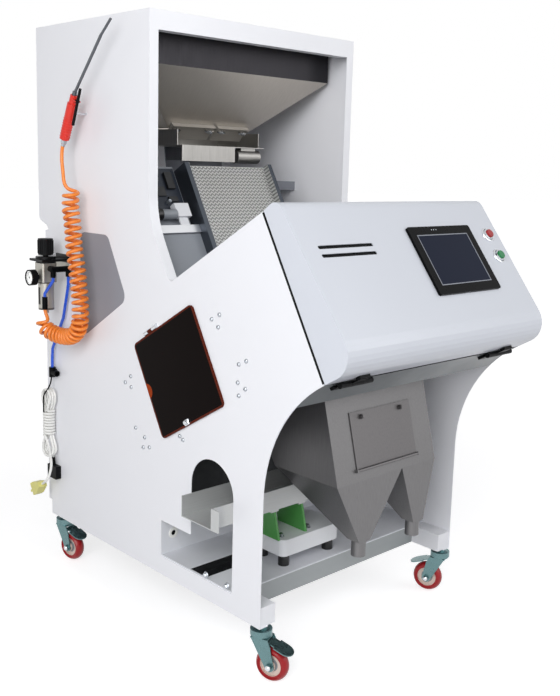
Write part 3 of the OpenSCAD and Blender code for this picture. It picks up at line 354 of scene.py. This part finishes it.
def regulator_look():
    """Satin alloy with a black collar, a joint under the body and a sight slot in the bowl."""
    bands = [(703.5, 726, BLACK), (652, 655.4, "#4c4a47"), (584, 589, "#6f6c67")]
    look = banded("regulator", "#b3b0a8", "z", bands, 0.35, 0.7)
    low, high = at(0, 776, 598), at(0, 786, 642)
    across = look.inside(look.axis("y"), low.y, high.y)
    upright = look.inside(look.axis("z"), low.z, high.z)
    return look.paint(look.math("MULTIPLY", across, upright), "#2b2927")


LOOKS = {
    "left_panel": white_paint,
    "right_panel": white_paint,
    "top_frame": white_paint,
    "rear_cover": white_paint,
    "base_frame": banded("frame_paint", WHITE, "x", [(-284, 284, "#9fa4a6")]),
    # Painted shade: the base plate's upright wall is black from 152 to 500 mm up, for the shade inside
    # the lower arch
    "base_plate": banded("base_wall_painted_shade", "#e4e6ec", "z", [(152, 500, "#101216")], 0.5),
    "side_cover": grey_paint,
    # painted shade: the underside panel gets the mid grey that stands for the shade under the console
    "underside_panel": underside_painted_shade,
    "feed_hopper": hopper_steel,
    "feed_gate_left": gate_steel,
    "feed_gate_right": gate_steel,
    "feeder_trough": sheet_steel,
    "feeder_drive": grey_paint,
    "chute": chute_look(),
    "optics_boxes": bay_grey,
    "optics_glass": Look("lamp_glass", "#20363a", 0.05, Transmission_Weight=0.6),
    "camera_unit": banded(
        "camera_unit",
        "#eceef2",
        "x",
        [(-300, -245, BLACK), (-245, -203, "#8d9299")],
    ),
    "ejector_manifold": brushed("alloy", "#c3c6cb", 0.35),
    "outlet_hopper": outlet_steel_shaded,
    "outlet_door": brushed("door_steel", "#737172", 0.42, (60, 60, 1.5), 0.14),
    "discharge_tray": tray_look(),
    "discharge_springs": spring_green,
    "discharge_base": banded("base_plastic", "#e9ebef", "z", [(0, 76, BLACK)]),
    "console_cover": console_paint_shaded,
    "hinge_fixed": black_plastic,
    "hinge_moving": black_plastic,
    "screen_bezel": gloss_black,
    "screen_glass": display_look(),
    "button_bezels": chrome,
    "stop_button": stop_red,
    "start_button": start_green,
    "window_pane": window_look(),
    "window_hinge": chrome,
    "regulator_body": regulator_look(),
    "regulator_knob": black_plastic,
    "pressure_gauge": black_plastic,
    "air_fittings": gloss_black,
    "air_tubes": tube_blue,
    "gun_body": gun_red,
    "gun_nozzle": brushed("nozzle_steel", "#6b6e73", 0.3),
    "gun_trigger": black_plastic,
    "gun_hook": chrome,
    "cord_inlet": black_plastic,
    "power_plug": cast("plug_yellow", "#e4de86", 0.4),
}
for corner in ("fl", "fr", "rl", "rr"):
    LOOKS["fork_" + corner] = zinc
    LOOKS["pedal_" + corner] = zinc
    LOOKS["wheel_" + corner] = wheel_look("wheel_" + corner)


def dress():
    for name, look in LOOKS.items():
        data = nodes[name].data
        if not data.materials:
            data.materials.append(look.mat)
        for slot in nodes[name].material_slots:
            slot.material = look.mat


# Mesh helpers
def piece(name, build, look, body, smooth=35):
    """A mesh piece: build fills a bmesh in metres, in the shared frame."""
    bm = bmesh.new()
    build(bm)
    data = bpy.data.meshes.new(name)
    bm.to_mesh(data)
    bm.free()
    data.polygons.foreach_set("use_smooth", [True] * len(data.polygons))
    data.set_sharp_from_angle(angle=math.radians(smooth))
    data.materials.append(look.mat)
    made = bpy.data.objects.new(name, data)
    bpy.context.scene.collection.objects.link(made)
    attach(made, body)
    return made


def lathe(bm, profile, placed, steps=24):
    """Turn a profile of (radius, height) in mm about the frame's z axis, into a solid or a ring."""
    rings = []
    for radius, height in profile:
        if radius == 0:
            rings.append([bm.verts.new(placed @ mm(0, 0, height))])
            continue
        turn = [2 * math.pi * k / steps for k in range(steps)]
        ring = [mm(radius * math.cos(a), radius * math.sin(a), height) for a in turn]
        rings.append([bm.verts.new(placed @ p) for p in ring])
    spans = list(zip(rings, rings[1:]))
    if profile[0][0] > 0 and profile[-1][0] > 0:
        spans.append((rings[-1], rings[0]))
    for low, high in spans:
        for k in range(steps):
            j = (k + 1) % steps
            if len(low) == 1:
                bm.faces.new((low[0], high[j], high[k]))
            elif len(high) == 1:
                bm.faces.new((low[k], low[j], high[0]))
            else:
                bm.faces.new((low[k], low[j], high[j], high[k]))
    bmesh.ops.recalc_face_normals(bm, faces=bm.faces)


def block(bm, low, high, placed=Matrix.Identity(4), bevel=0.6):
    """Box between two corners in mm with softened edges."""
    low, high = mm(*low), mm(*high)
    size = high - low
    made = bmesh.ops.create_cube(bm, size=1)["verts"]
    for v in made:
        v.co = Vector(a * b for a, b in zip(v.co, size)) + (low + high) / 2
    edges = list({e for v in made for e in v.link_edges})
    done = bmesh.ops.bevel(bm, geom=edges, offset=bevel / 1000, segments=2, affect="EDGES")
    changed = {v for f in done["faces"] for v in f.verts} | {v for v in made if v.is_valid}
    for v in changed:
        v.co = placed @ v.co


def button_head(bm, placed, d=10.0, h=4.0):
    """Domed screw with a round socket, standing on the frame's plane."""
    r, socket = d / 2, d * 0.22
    lathe(
        bm,
        [
            (0, h * 0.35),
            (socket, h * 0.4),
            (socket, h * 0.96),
            (r * 0.62, h * 0.9),
            (r * 0.88, h * 0.6),
            (r, h * 0.15),
            (r, -0.5),
            (0, -0.5),
        ],
        placed,
    )


def hex_bolt(bm, placed, d=13.0, h=5.0):
    """Hexagon head on a washer."""
    lathe(bm, [(0, h + 1.5), (d * 0.42, h + 1.5), (d / 2, h + 0.6), (d / 2, 1.5), (0, 1.5)], placed, 6)
    lathe(bm, [(0, 1.6), (d * 0.62, 1.5), (d * 0.68, 0.8), (d * 0.68, -0.3), (0, -0.3)], placed)


def smoothed(points, steps=6):
    """Curve through the points, with that many steps in each span."""
    ends = [points[0] * 2 - points[1], *points, points[-1] * 2 - points[-2]]
    made = []
    for a, b, c, d in zip(ends, ends[1:], ends[2:], ends[3:]):
        for k in range(steps):
            t = k / steps
            square, cube = a * 2 - b * 5 + c * 4 - d, b * 3 - a - c * 3 + d
            made.append((b * 2 + (c - a) * t + square * t**2 + cube * t**3) / 2)
    return made + [points[-1]]


def length_of(points):
    return sum((b - a).length for a, b in zip(points, points[1:]))


def evenly(points, count):
    """The line through the points, at equal steps."""
    total, made, walked, i = length_of(points), [], 0.0, 0
    for k in range(count + 1):
        goal = total * k / count
        while i < len(points) - 2 and walked + (points[i + 1] - points[i]).length < goal:
            walked += (points[i + 1] - points[i]).length
            i += 1
        step = points[i + 1] - points[i]
        made.append(points[i] + step * min(1, (goal - walked) / max(step.length, 1e-9)))
    return made


def relaxed(points, passes):
    """The points with their corners rounded; the two ends stay."""
    for _ in range(passes):
        inside = [(a + b * 2 + c) / 4 for a, b, c in zip(points, points[1:], points[2:])]
        points = [points[0], *inside, points[-1]]
    return points


def bridge(start, leave, end, arrive, steps=16):
    """Curve between two points with those tangents at its ends."""
    made = []
    for t in (k / steps for k in range(steps + 1)):
        near, far = 2 * t**3 - 3 * t**2 + 1, 3 * t**2 - 2 * t**3
        made.append(start * near + leave * (t**3 - 2 * t**2 + t) + end * far + arrive * (t**3 - t**2))
    return made


def tube(name, points, d, look, body):
    """A round tube along points in metres, as a curve of one open spline."""
    data = bpy.data.curves.new(name, "CURVE")
    data.dimensions = "3D"
    data.bevel_depth = d / 2000
    data.bevel_resolution = 3
    data.use_fill_caps = True
    line = data.splines.new("POLY")
    line.points.add(len(points) - 1)
    for p, co in zip(line.points, points):
        p.co = (*co, 1)
    line.use_smooth = True
    data.materials.append(look.mat)
    made = bpy.data.objects.new(name, data)
    bpy.context.scene.collection.objects.link(made)
    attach(made, body)
    return made


# Spiral hose: from the link under the regulator round the loop and up to the blow gun
HOSE_D = 9
HOSE_X = -376
COIL_R = 17.6
PITCH_STRAIGHT = 17.5
PITCH_BEND = 13.5
STEPS_PER_TURN = 20
COIL_LINE = [
    (661, 890),
    (664, 849),
    (659, 826),
    (653, 789),
    (648, 746),
    (638, 709),
    (630, 662),
    (624, 620),
    (624, 580),
    (634, 553),
    (660, 533),
    (696, 525),
]
BEND_FROM = 8
COIL_FOOT = [(-382, 725, 526), (-390, 745, 532), (-398, 757, 543), (-398, 760, 557)]
HOSE_TOP = [(-374, 697.1, 1001.1), (-374, 703.0, 988.4), (-376, 702, 962), (-378, 694, 932)]
HOSE_LINK = (-398, 756, 588)


def make_hose():
    """Wind the hose round its centre line, with a smooth lead at each end."""
    drop = [at(HOSE_X, y, z) for y, z in COIL_LINE]
    axis = evenly(smoothed(drop + [at(*p) for p in COIL_FOOT], 8), 900)
    straight = length_of(drop[: BEND_FROM + 1]) * 1000
    bend = length_of(axis) * 1000 - straight
    early, late = straight / PITCH_STRAIGHT, bend / PITCH_BEND
    turns = round(early + late)
    side, coil = Vector((1, 0, 0)), []
    for i, centre in enumerate(axis):
        ahead = (axis[min(i + 1, len(axis) - 1)] - axis[max(i - 1, 0)]).normalized()
        side = (side - ahead * side.dot(ahead)).normalized()
        gone = i / (len(axis) - 1) * (straight + bend)
        turned = min(gone, straight) / PITCH_STRAIGHT + max(0, gone - straight) / PITCH_BEND
        angle = 2 * math.pi * (turned * turns / (early + late) - 0.25)
        across = side * math.cos(angle) + ahead.cross(side) * math.sin(angle)
        coil.append(centre + across * COIL_R / 1000)
    coil = coil[3:-3]
    into, out = (coil[1] - coil[0]).normalized(), (coil[-1] - coil[-2]).normalized()
    top = smoothed([at(*p) for p in HOSE_TOP], 8)
    top += bridge(top[-1], (top[-1] - top[-2]).normalized() * 0.06, coil[0], into * 0.06)[1:-1]
    foot = bridge(coil[-1], out * 0.04, at(*HOSE_LINK), mm(0, 0, 45))[1:]
    points = relaxed(evenly(top + coil + foot, turns * STEPS_PER_TURN + 60), 1)
    points.reverse()
    hose = tube("spiral_hose", points, HOSE_D, hose_orange, "cabinet")
    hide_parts("hose_coil", "hose_tail")


# Mains lead: runs of a hank pinched by its own wrapping, then the tail to the plug
CORD_D = 7
HANK_Y = 833
HANK_X = -348.3
LAYER = 7.3
NECK = 3.7
FOLD_R = 21
FOLD_LOW, FOLD_HIGH = 196, 337
NECK_LOW, NECK_HIGH = 240, 292
WRAP_FROM, WRAP_TO = 300, 232
RELIEF_TOP = (-338, 833, 168)
CORD_TAIL = [
    (-354, 818, 173),
    (-354, 815, 160),
    (-357, 812, 145),
    (-362, 811, 130),
    (-367, 814, 116),
    (-370, 822, 107),
    (-370, 836, 98),
]


def ease(t):
    t = max(0.0, min(1.0, t))
    return t * t * (3 - 2 * t)


def spread_at(z):
    """Half the distance between the two runs of a loop at that height."""
    below = ease((NECK_LOW - z) / (NECK_LOW - FOLD_LOW))
    above = ease((z - NECK_HIGH) / (FOLD_HIGH - NECK_HIGH))
    return NECK + (FOLD_R - NECK) * max(below, above)


def make_lead():
    """Lay the lead from its inlet through the hank and its wrapping, down to the plug."""
    route = [(RELIEF_TOP[0], RELIEF_TOP[1], RELIEF_TOP[2] + k * 6) for k in range(3)]
    steps = 14

    def run(x, side, z0, z1):
        for k in range(1, steps + 1):
            z = z0 + (z1 - z0) * k / steps
            route.append((x, HANK_Y + side * spread_at(z), z))

    def fold(x0, x1, side, z, up):
        for k in range(1, steps):
            angle = math.pi * k / steps
            x = x0 + (x1 - x0) * ease(k / steps * 1.6)
            y = HANK_Y + side * FOLD_R * math.cos(angle)
            route.append((x, y, z + up * FOLD_R * math.sin(angle)))

    layers = [HANK_X + LAYER, HANK_X, HANK_X - LAYER]
    for k in range(1, 8):
        share = ease(k / 7)
        z = RELIEF_TOP[2] + 12 + (NECK_LOW - RELIEF_TOP[2] - 12) * k / 7
        route.append((RELIEF_TOP[0] + (layers[0] - RELIEF_TOP[0]) * share, HANK_Y + NECK * share, z))
    run(layers[0], 1, NECK_LOW, FOLD_HIGH)
    for x, following in zip(layers, layers[1:]):
        fold(x, x, 1, FOLD_HIGH, 1)
        run(x, -1, FOLD_HIGH, FOLD_LOW)
        fold(x, following, -1, FOLD_LOW, -1)
        run(following, 1, FOLD_LOW, FOLD_HIGH)
    fold(layers[-1], layers[-1], 1, FOLD_HIGH, 1)
    reach_x = LAYER + CORD_D + 0.2
    start = math.radians(255)
    reach_y = spread_at(WRAP_FROM) + CORD_D + 0.2
    goal = Vector((HANK_X + reach_x * math.cos(start), HANK_Y + reach_y * math.sin(start), WRAP_FROM))
    way = Vector((-reach_x * math.sin(start), reach_y * math.cos(start), 0)).normalized()
    route += bridge(Vector(route[-1]), Vector((0, 0, -50)), goal, way * 50, 8)[1:]
    per_turn = 18
    wrap_steps = 9 * per_turn - 3
    for k in range(1, wrap_steps + 1):
        z = WRAP_FROM - (WRAP_FROM - WRAP_TO) * k / wrap_steps
        angle = start + 2 * math.pi * k / per_turn
        reach_y = spread_at(z) + CORD_D + 0.2
        route.append((HANK_X + reach_x * math.cos(angle), HANK_Y + reach_y * math.sin(angle), z))
    route += [(-361.5, 818, 214), (-358.5, 815.5, 196)]
    line = smoothed([at(*p) for p in route + CORD_TAIL], 4)
    points = relaxed(evenly(line, 1300), 10)
    lead = tube("mains_lead", points, CORD_D, cord_white, "cabinet")
    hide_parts("cord_hank", "cord_tail")


# Small parts
PANEL_SCREWS = [
    (497, 439),
    (474, 458),
    (472, 432),
    (453, 336),
    (416, 321),
    (422, 295),
    (397, 301),
    (173, 638),
    (148, 651),
    (151, 624),
    (83, 556),
    (60, 567),
    (85, 517),
    (61, 508),
    (81, 490),
    (280, 356),
    (268, 350),
]
FRAME_BOLTS = [(180, 59), (108, 59)]


def make_fasteners():
    def screws(bm):
        for y, z in PANEL_SCREWS:
            button_head(bm, on_left(y, z), 10, 4)

    def bolts(bm):
        for y, z in FRAME_BOLTS:
            hex_bolt(bm, on_left(y, z), 11, 5)

    piece("panel_screws", screws, screw_steel, "cabinet")
    piece("frame_bolts", bolts, screw_steel, "cabinet")


GAUGE_FACE = (-425, 781, 668)
GAUGE_R = 17.4


def make_gauge():
    dial_frame = on_left(GAUGE_FACE[1], GAUGE_FACE[2], GAUGE_FACE[0])

    def dial(bm):
        edge = [(GAUGE_R - 1.2, 0.6), (GAUGE_R, 0.2), (GAUGE_R, -0.2)]
        lathe(bm, [(0, 0.6), *edge, (0, -0.2)], dial_frame, 40)

    def marks(bm):
        for k in range(41):
            turned = dial_frame @ Matrix.Rotation(math.radians(225 - 270 * k / 40), 4, "Z")
            start, half = (11, 0.3) if k % 5 == 0 else (12.6, 0.15)
            block(bm, (start, -half, 0.6), (14.6, half, 0.8), turned, 0.04)
        needle = dial_frame @ Matrix.Rotation(math.radians(120), 4, "Z")
        block(bm, (-4, -0.4, 0.9), (12, 0.4, 1.3), needle, 0.1)
        lathe(bm, [(0, 1.8), (1.6, 1.7), (1.8, 0.5), (0, 0.5)], dial_frame)

    def glass(bm):
        edge = [(GAUGE_R - 3, 2.5), (GAUGE_R, 2.2), (GAUGE_R, 1.9)]
        lathe(bm, [(0, 2.6), *edge, (0, 1.9)], dial_frame, 40)

    piece("gauge_dial", dial, cast("dial_white", "#f4f5f4", 0.5), "cabinet")
    piece("gauge_marks", marks, black_plastic, "cabinet")
    clear = Look("gauge_glass", "#ffffff", 0.03, Transmission_Weight=1.0, IOR=1.1)
    piece("gauge_glass", glass, clear, "cabinet")


SCREEN_W, SCREEN_H = 178, 123


def make_screen_trim():
    placed = on_face(111, 165.5)

    def trim(bm):
        w, h, t = SCREEN_W / 2, SCREEN_H / 2, 1.3
        for side in (-1, 1):
            block(bm, (side * w - t, -h - t, 5.2), (side * w + t, h + t, 6.2), placed, 0.3)
            block(bm, (-w, side * h - t, 5.2), (w, side * h + t, 6.2), placed, 0.3)

    piece("screen_trim", trim, cast("trim_silver", "#8c9099", 0.3, 0.8), "cover")


BUTTONS_AT = [(287, 108), (287, 166)]
LIGHTS_AT = [(80, 91), (88, 91), (96, 91)]


def make_button_rings():
    """Bright washer under each push button's bezel, and three small lights on the screen's bezel."""

    def rings(bm):
        for x, s in BUTTONS_AT:
            washer = [(15.1, 0.1), (18.4, 0.1), (18.6, 1.2), (17.8, 2.4), (16, 3), (15.1, 3)]
            lathe(bm, washer, on_face(x, s), 40)

    def lights(bm):
        for x, s in LIGHTS_AT:
            lathe(bm, [(0, 6.5), (1.1, 6.4), (1.4, 6), (1.4, 5.8), (0, 5.8)], on_face(x, s), 12)

    piece("button_rings", rings, chrome, "cover")
    piece("screen_lights", lights, cast("light_pale", "#c9d2d8", 0.3), "cover")


def make_vent_mesh():
    """Dark mesh behind the console's vents, with three stiffening bars."""
    placed = on_face(-204, 125.75)

    def mesh(bm):
        block(bm, (-92, -24, -5), (92, 24, -4), placed, 0.3)
        for y in (-22, 0, 22):
            block(bm, (-90, y - 1.5, -4.2), (90, y + 1.5, -2.1), placed, 0.3)

    piece("vent_mesh", mesh, black_plastic, "cover")


SEAM_LOW = (-160, 558)
SEAM_LEN = 363
BESIDE_HINGES = [(-308, -276), (-212, 212), (276, 308)]


def make_gaskets():
    """Black strip on each panel's seam edge and on the underside's, facing the cover."""
    placed = frame_at(at(0, *SEAM_LOW), (1, 0, 0), -BACK_T)

    def strips(bm):
        for side in (-1, 1):
            x = sorted((side * 329.6, side * 309))
            block(bm, (x[0], 0.05, 2 - SEAM_LEN), (x[1], 2.3, -3), placed, 0.4)
            x = sorted((side * 331.2, side * 330))
            block(bm, (x[0], -2.2, 2 - SEAM_LEN), (x[1], 2.4, -3), placed, 0.4)
        for x in BESIDE_HINGES:
            block(bm, (x[0], 0.05, -1.8), (x[1], 2.3, 1.4), placed, 0.4)

    piece("seam_gaskets", strips, black_plastic, "cabinet")


BOARD_PARTS = [
    (-306, -22, 26, 16, 7),
    (-306, -60, 22, 30, 5),
    (-270, -30, 34, 34, 4),
    (-268, -78, 30, 18, 9),
    (-226, -24, 18, 18, 6),
    (-222, -62, 40, 26, 4),
    (-182, -34, 22, 44, 8),
    (-186, -84, 26, 14, 6),
]
BOARD_CANS = [(-246, -96), (-258, -98), (-204, -92), (-290, -92)]


def make_board():
    """Driver board on the plate beside the chute, with its parts facing forwards."""
    placed = frame_at(at(0, 531, 956) + BACK_T * 0.026, (1, 0, 0), UP_T)

    def card(bm):
        block(bm, (-322, -110, 4), (-156, 2, 5.6), placed, 0.3)
        for x, y in ((-316, -104), (-316, -4), (-162, -104), (-162, -4)):
            here = placed @ Matrix.Translation(mm(x, y, 0))
            lathe(bm, [(0, 7), (2.6, 6.8), (3, 5.6), (3, -0.2), (0, -0.2)], here)

    def chips(bm):
        for x, y, w, h, t in BOARD_PARTS:
            block(bm, (x - w / 2, y - h / 2, 5.4), (x + w / 2, y + h / 2, 5.4 + t), placed, 0.5)

    def cans(bm):
        for x, y in BOARD_CANS:
            here = placed @ Matrix.Translation(mm(x, y, 5.4))
            lid = [(0, 11.6), (3.4, 11.6), (4.4, 12), (4.8, 11.4)]
            bead = [(4.8, 1.6), (4.5, 1.2), (4.8, 0.8)]
            lathe(bm, [*lid, *bead, (4.8, 0), (0, 0)], here)

    piece("driver_board", card, cast("board_navy", "#18212f", 0.5), "cabinet")
    piece("board_chips", chips, cast("chip_black", "#1b1c1f", 0.5), "cabinet")
    piece("board_cans", cans, cast("can_grey", "#8c9299", 0.35, 0.6), "cabinet")


def make_grommet():
    """Plastic ring round a dark membrane in the cable hole of the back wall."""
    placed = frame_at(at(-294, 350, 95), (1, 0, 0), (0, 0, 1))

    def ring(bm):
        lip = [(6.4, 1.6), (7.2, 2.2), (12.5, 1.6), (13.4, 0.1), (10.9, 0)]
        lathe(bm, [(6.4, -2), *lip, (10.9, -2)], placed, 32)

    def membrane(bm):
        lathe(bm, [(0, -0.6), (5, -0.4), (6.6, 0), (6.6, -1.2), (0, -1.4)], placed)

    piece("wall_grommet", ring, cord_white, "cabinet")
    piece("wall_membrane", membrane, black_plastic, "cabinet")


SLOT_X = (-324, -190)
SLOT_Y = (186, 245)
SLOT_Z = 47


def make_slot_shade_brush():
    """Two rows of black bristles that meet across the cable slot in the base plate, as painted shade
    that closes the slot dark.
    """

    def bristles(bm):
        count = 40
        step = (SLOT_X[1] - SLOT_X[0]) / count
        middle = sum(SLOT_Y) / 2
        for k in range(count):
            x = SLOT_X[0] + step * k
            sway = 1.5 * math.sin(2.4 * k)
            for y0, y1 in ((SLOT_Y[0], middle + sway), (middle + sway + 0.4, SLOT_Y[1])):
                block(bm, (x, y0, SLOT_Z), (x + step, y1, SLOT_Z + 1), AT_MACHINE, 0.2)

    piece("slot_shade_brush", bristles, black_plastic, "cabinet")


GUN_LOW = (-374, 692, 1012)
GUN_UP = (0, -0.4219, 0.9066)


def make_gun_trim():
    """Ribs round the grip of the blow gun and a nut where the hose joins it."""
    placed = frame_at(at(*GUN_LOW), (1, 0, 0), (0, GUN_UP[2], -GUN_UP[1]))

    def ribs(bm):
        for k in range(8):
            s = 6 + 6.5 * k
            lathe(bm, [(11.5, s - 1.6), (12.8, s - 0.7), (12.8, s + 0.7), (11.5, s + 1.6)], placed, 32)

    def nut(bm):
        lathe(bm, [(6, -12.2), (7.6, -11.4), (8.2, -10), (8.2, -4), (7.6, -3), (6, -2.4)], placed, 6)
        lathe(bm, [(3.9, -19), (5, -18.6), (5.4, -17.5), (5.4, -12)], placed)

    piece("gun_ribs", ribs, gun_red, "cabinet")
    piece("gun_nut", nut, screw_steel, "cabinet")


SLOPE_UP = Vector((0, -122, 139)).normalized()
THROAT = (0, 600, 1048)
GATE_SCREWS = {"gate_left": (-115, -10), "gate_right": (32, 105)}


def make_wing_nuts():
    """A wing nut on each clamp screw of the two gates."""
    placed = frame_at(at(*THROAT), (1, 0, 0), SLOPE_UP)
    for body, across in GATE_SCREWS.items():

        def nuts(bm):
            for x in across:
                here = placed @ Matrix.Translation(mm(x, 4, 10.3))
                lathe(bm, [(0, 5), (3, 4.8), (4.6, 3.6), (5.4, 0.6), (5.4, 0), (0, 0)], here)
                for side in (-1, 1):
                    leaf = here @ Matrix.Rotation(math.radians(side * 28), 4, "Y")
                    ends = sorted((side * 3, side * 12))
                    block(bm, (ends[0], -1.1, 1), (ends[1], 1.1, 8), leaf, 0.8)

        piece(body + "_nuts", nuts, screw_steel, body)


HEADINGS = {"fl": -69, "fr": 111, "rl": -80, "rr": -80}
NUT_FACE = 24.5


def make_axle_caps():
    """Domed cap on both ends of each caster's axle."""
    for corner, heading in HEADINGS.items():
        low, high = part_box("wheel_" + corner)
        turned = Matrix.Translation((low + high) / 2) @ Matrix.Rotation(math.radians(heading), 4, "Z")

        def caps(bm):
            for side in (-90, 90):
                here = turned @ Matrix.Rotation(math.radians(side), 4, "X")
                here = here @ Matrix.Translation(mm(0, 0, NUT_FACE))
                dome = [(0, 4.4), (3.4, 3.9), (5.6, 2.3), (6.4, 0.3), (6.4, -0.3), (0, -0.3)]
                lathe(bm, dome, here, 32)

        piece("axle_caps_" + corner, caps, chrome, "caster_" + corner)


BASE_TOP = 117
SPRING_FEET = [(-148, 132), (-148, 192), (-62, 132), (-62, 192)]


def make_base_bolts():
    """Bolts that hold the springs' feet on the base."""

    def bolts(bm):
        for x, y in SPRING_FEET:
            hex_bolt(bm, Matrix.Translation(at(x, y, BASE_TOP)), 12, 6)

    piece("base_bolts", bolts, screw_steel, "cabinet")


STRAP = [
    (-343, 826, 395),
    (-346, 826, 378),
    (-354, 826, 362),
    (-367, 825, 346),
    (-369, 824, 322),
    (-368, 826, 300),
]


def make_strap():
    """Strap that hangs the hank from the air elbow."""
    line = smoothed([at(*p) for p in STRAP], 6)
    tube("hank_strap", line, 4, black_plastic, "cabinet")


def make_window_catch():
    placed = frame_at(at(-334.4, 290, 499), BACK_T, UP_T) @ Matrix.Rotation(math.pi, 4, "Y")

    def catch(bm):
        here = placed @ Matrix.Translation(mm(-16, -115.5, 0))
        block(bm, (-9, -1, 0), (9, 12, 3), here, 0.8)
        lathe(bm, [(0, 9), (4, 8.5), (5, 7), (5, 3), (0, 3)], here @ Matrix.Translation(mm(0, 5.5, 0)))

    piece("window_catch", catch, chrome, "window")


# Stage
FLOOR_SIDE = 60
FLOOR_GLOW = (0.68, 0.86)
GLOW_REACH = (0.9, 3.2)
SKY = (0.46, 0.2)


def seen_ray(tree):
    """1 for the rays that see the background: from the camera, off gloss and through glass."""
    path = tree.nodes.new("ShaderNodeLightPath")
    seen = path.outputs["Is Camera Ray"]
    for ray in ("Is Glossy Ray", "Is Transmission Ray"):
        either = tree.nodes.new("ShaderNodeMath")
        either.operation = "MAXIMUM"
        tree.links.new(seen, either.inputs[0])
        tree.links.new(path.outputs[ray], either.inputs[1])
        seen = either.outputs[0]
    return seen


def make_floor():
    bm = bmesh.new()
    bmesh.ops.create_grid(bm, x_segments=1, y_segments=1, size=FLOOR_SIDE / 2)
    data = bpy.data.meshes.new("floor")
    bm.to_mesh(data)
    bm.free()
    floor = bpy.data.objects.new("floor", data)
    bpy.context.scene.collection.objects.link(floor)
    pale = Look("floor_pale", "#cdcdcf", 0.8, Specular_IOR_Level=0.15)
    pale.set("Emission Color", (1, 1, 1, 1))
    spot = pale.node("ShaderNodeNewGeometry", {}).outputs["Position"]
    away = pale.node("ShaderNodeVectorMath", {0: spot}, operation="LENGTH").outputs["Value"]
    glow = pale.spread(away, *FLOOR_GLOW, *GLOW_REACH)
    pale.set("Emission Strength", pale.math("MULTIPLY", seen_ray(pale.tree), glow))
    data.materials.append(pale.mat)


def make_world():
    """White behind everything; as a light, brighter at the horizon than overhead."""
    world = bpy.data.worlds.new("studio")
    bpy.context.scene.world = world
    world.use_nodes = True
    tree = world.node_tree
    back = tree.nodes["Background"]
    back.inputs["Color"].default_value = (1, 1, 1, 1)
    coords = tree.nodes.new("ShaderNodeTexCoord")
    split = tree.nodes.new("ShaderNodeSeparateXYZ")
    tree.links.new(coords.outputs["Generated"], split.inputs[0])
    rise = tree.nodes.new("ShaderNodeMapRange")
    rise.inputs[3].default_value, rise.inputs[4].default_value = SKY
    tree.links.new(split.outputs["Z"], rise.inputs[0])
    level = tree.nodes.new("ShaderNodeMapRange")
    level.inputs[4].default_value = 1.0
    tree.links.new(seen_ray(tree), level.inputs[0])
    tree.links.new(rise.outputs[0], level.inputs[3])
    tree.links.new(level.outputs[0], back.inputs["Strength"])


LAMPS = [
    ("key", (-3.0, -2.0, 1.9), 2.4, 79),
    ("bay", (-1.5, -1.3, 1.75), 0.7, 6),
    ("fill", (1.7, -3.0, 2.2), 2.2, 34),
]
AIM = Vector((0, 0, 0.75))


def make_lamps():
    for name, place, side, power in LAMPS:
        data = bpy.data.lights.new(name, "AREA")
        data.shape = "SQUARE"
        data.size = side
        data.energy = power
        lamp = bpy.data.objects.new(name, data)
        lamp.location = place
        lamp.rotation_euler = (AIM - lamp.location).to_track_quat("-Z", "Y").to_euler()
        bpy.context.scene.collection.objects.link(lamp)


make_camera()
dress()
make_hose()
make_lead()
make_fasteners()
make_gauge()
make_screen_trim()
make_button_rings()
make_vent_mesh()
make_gaskets()
make_board()
make_gun_trim()
make_wing_nuts()
make_axle_caps()
make_base_bolts()
make_strap()
make_grommet()
make_slot_shade_brush()
make_window_catch()
make_floor()
make_world()
make_lamps()
bpy.context.scene.view_settings.view_transform = "Standard"
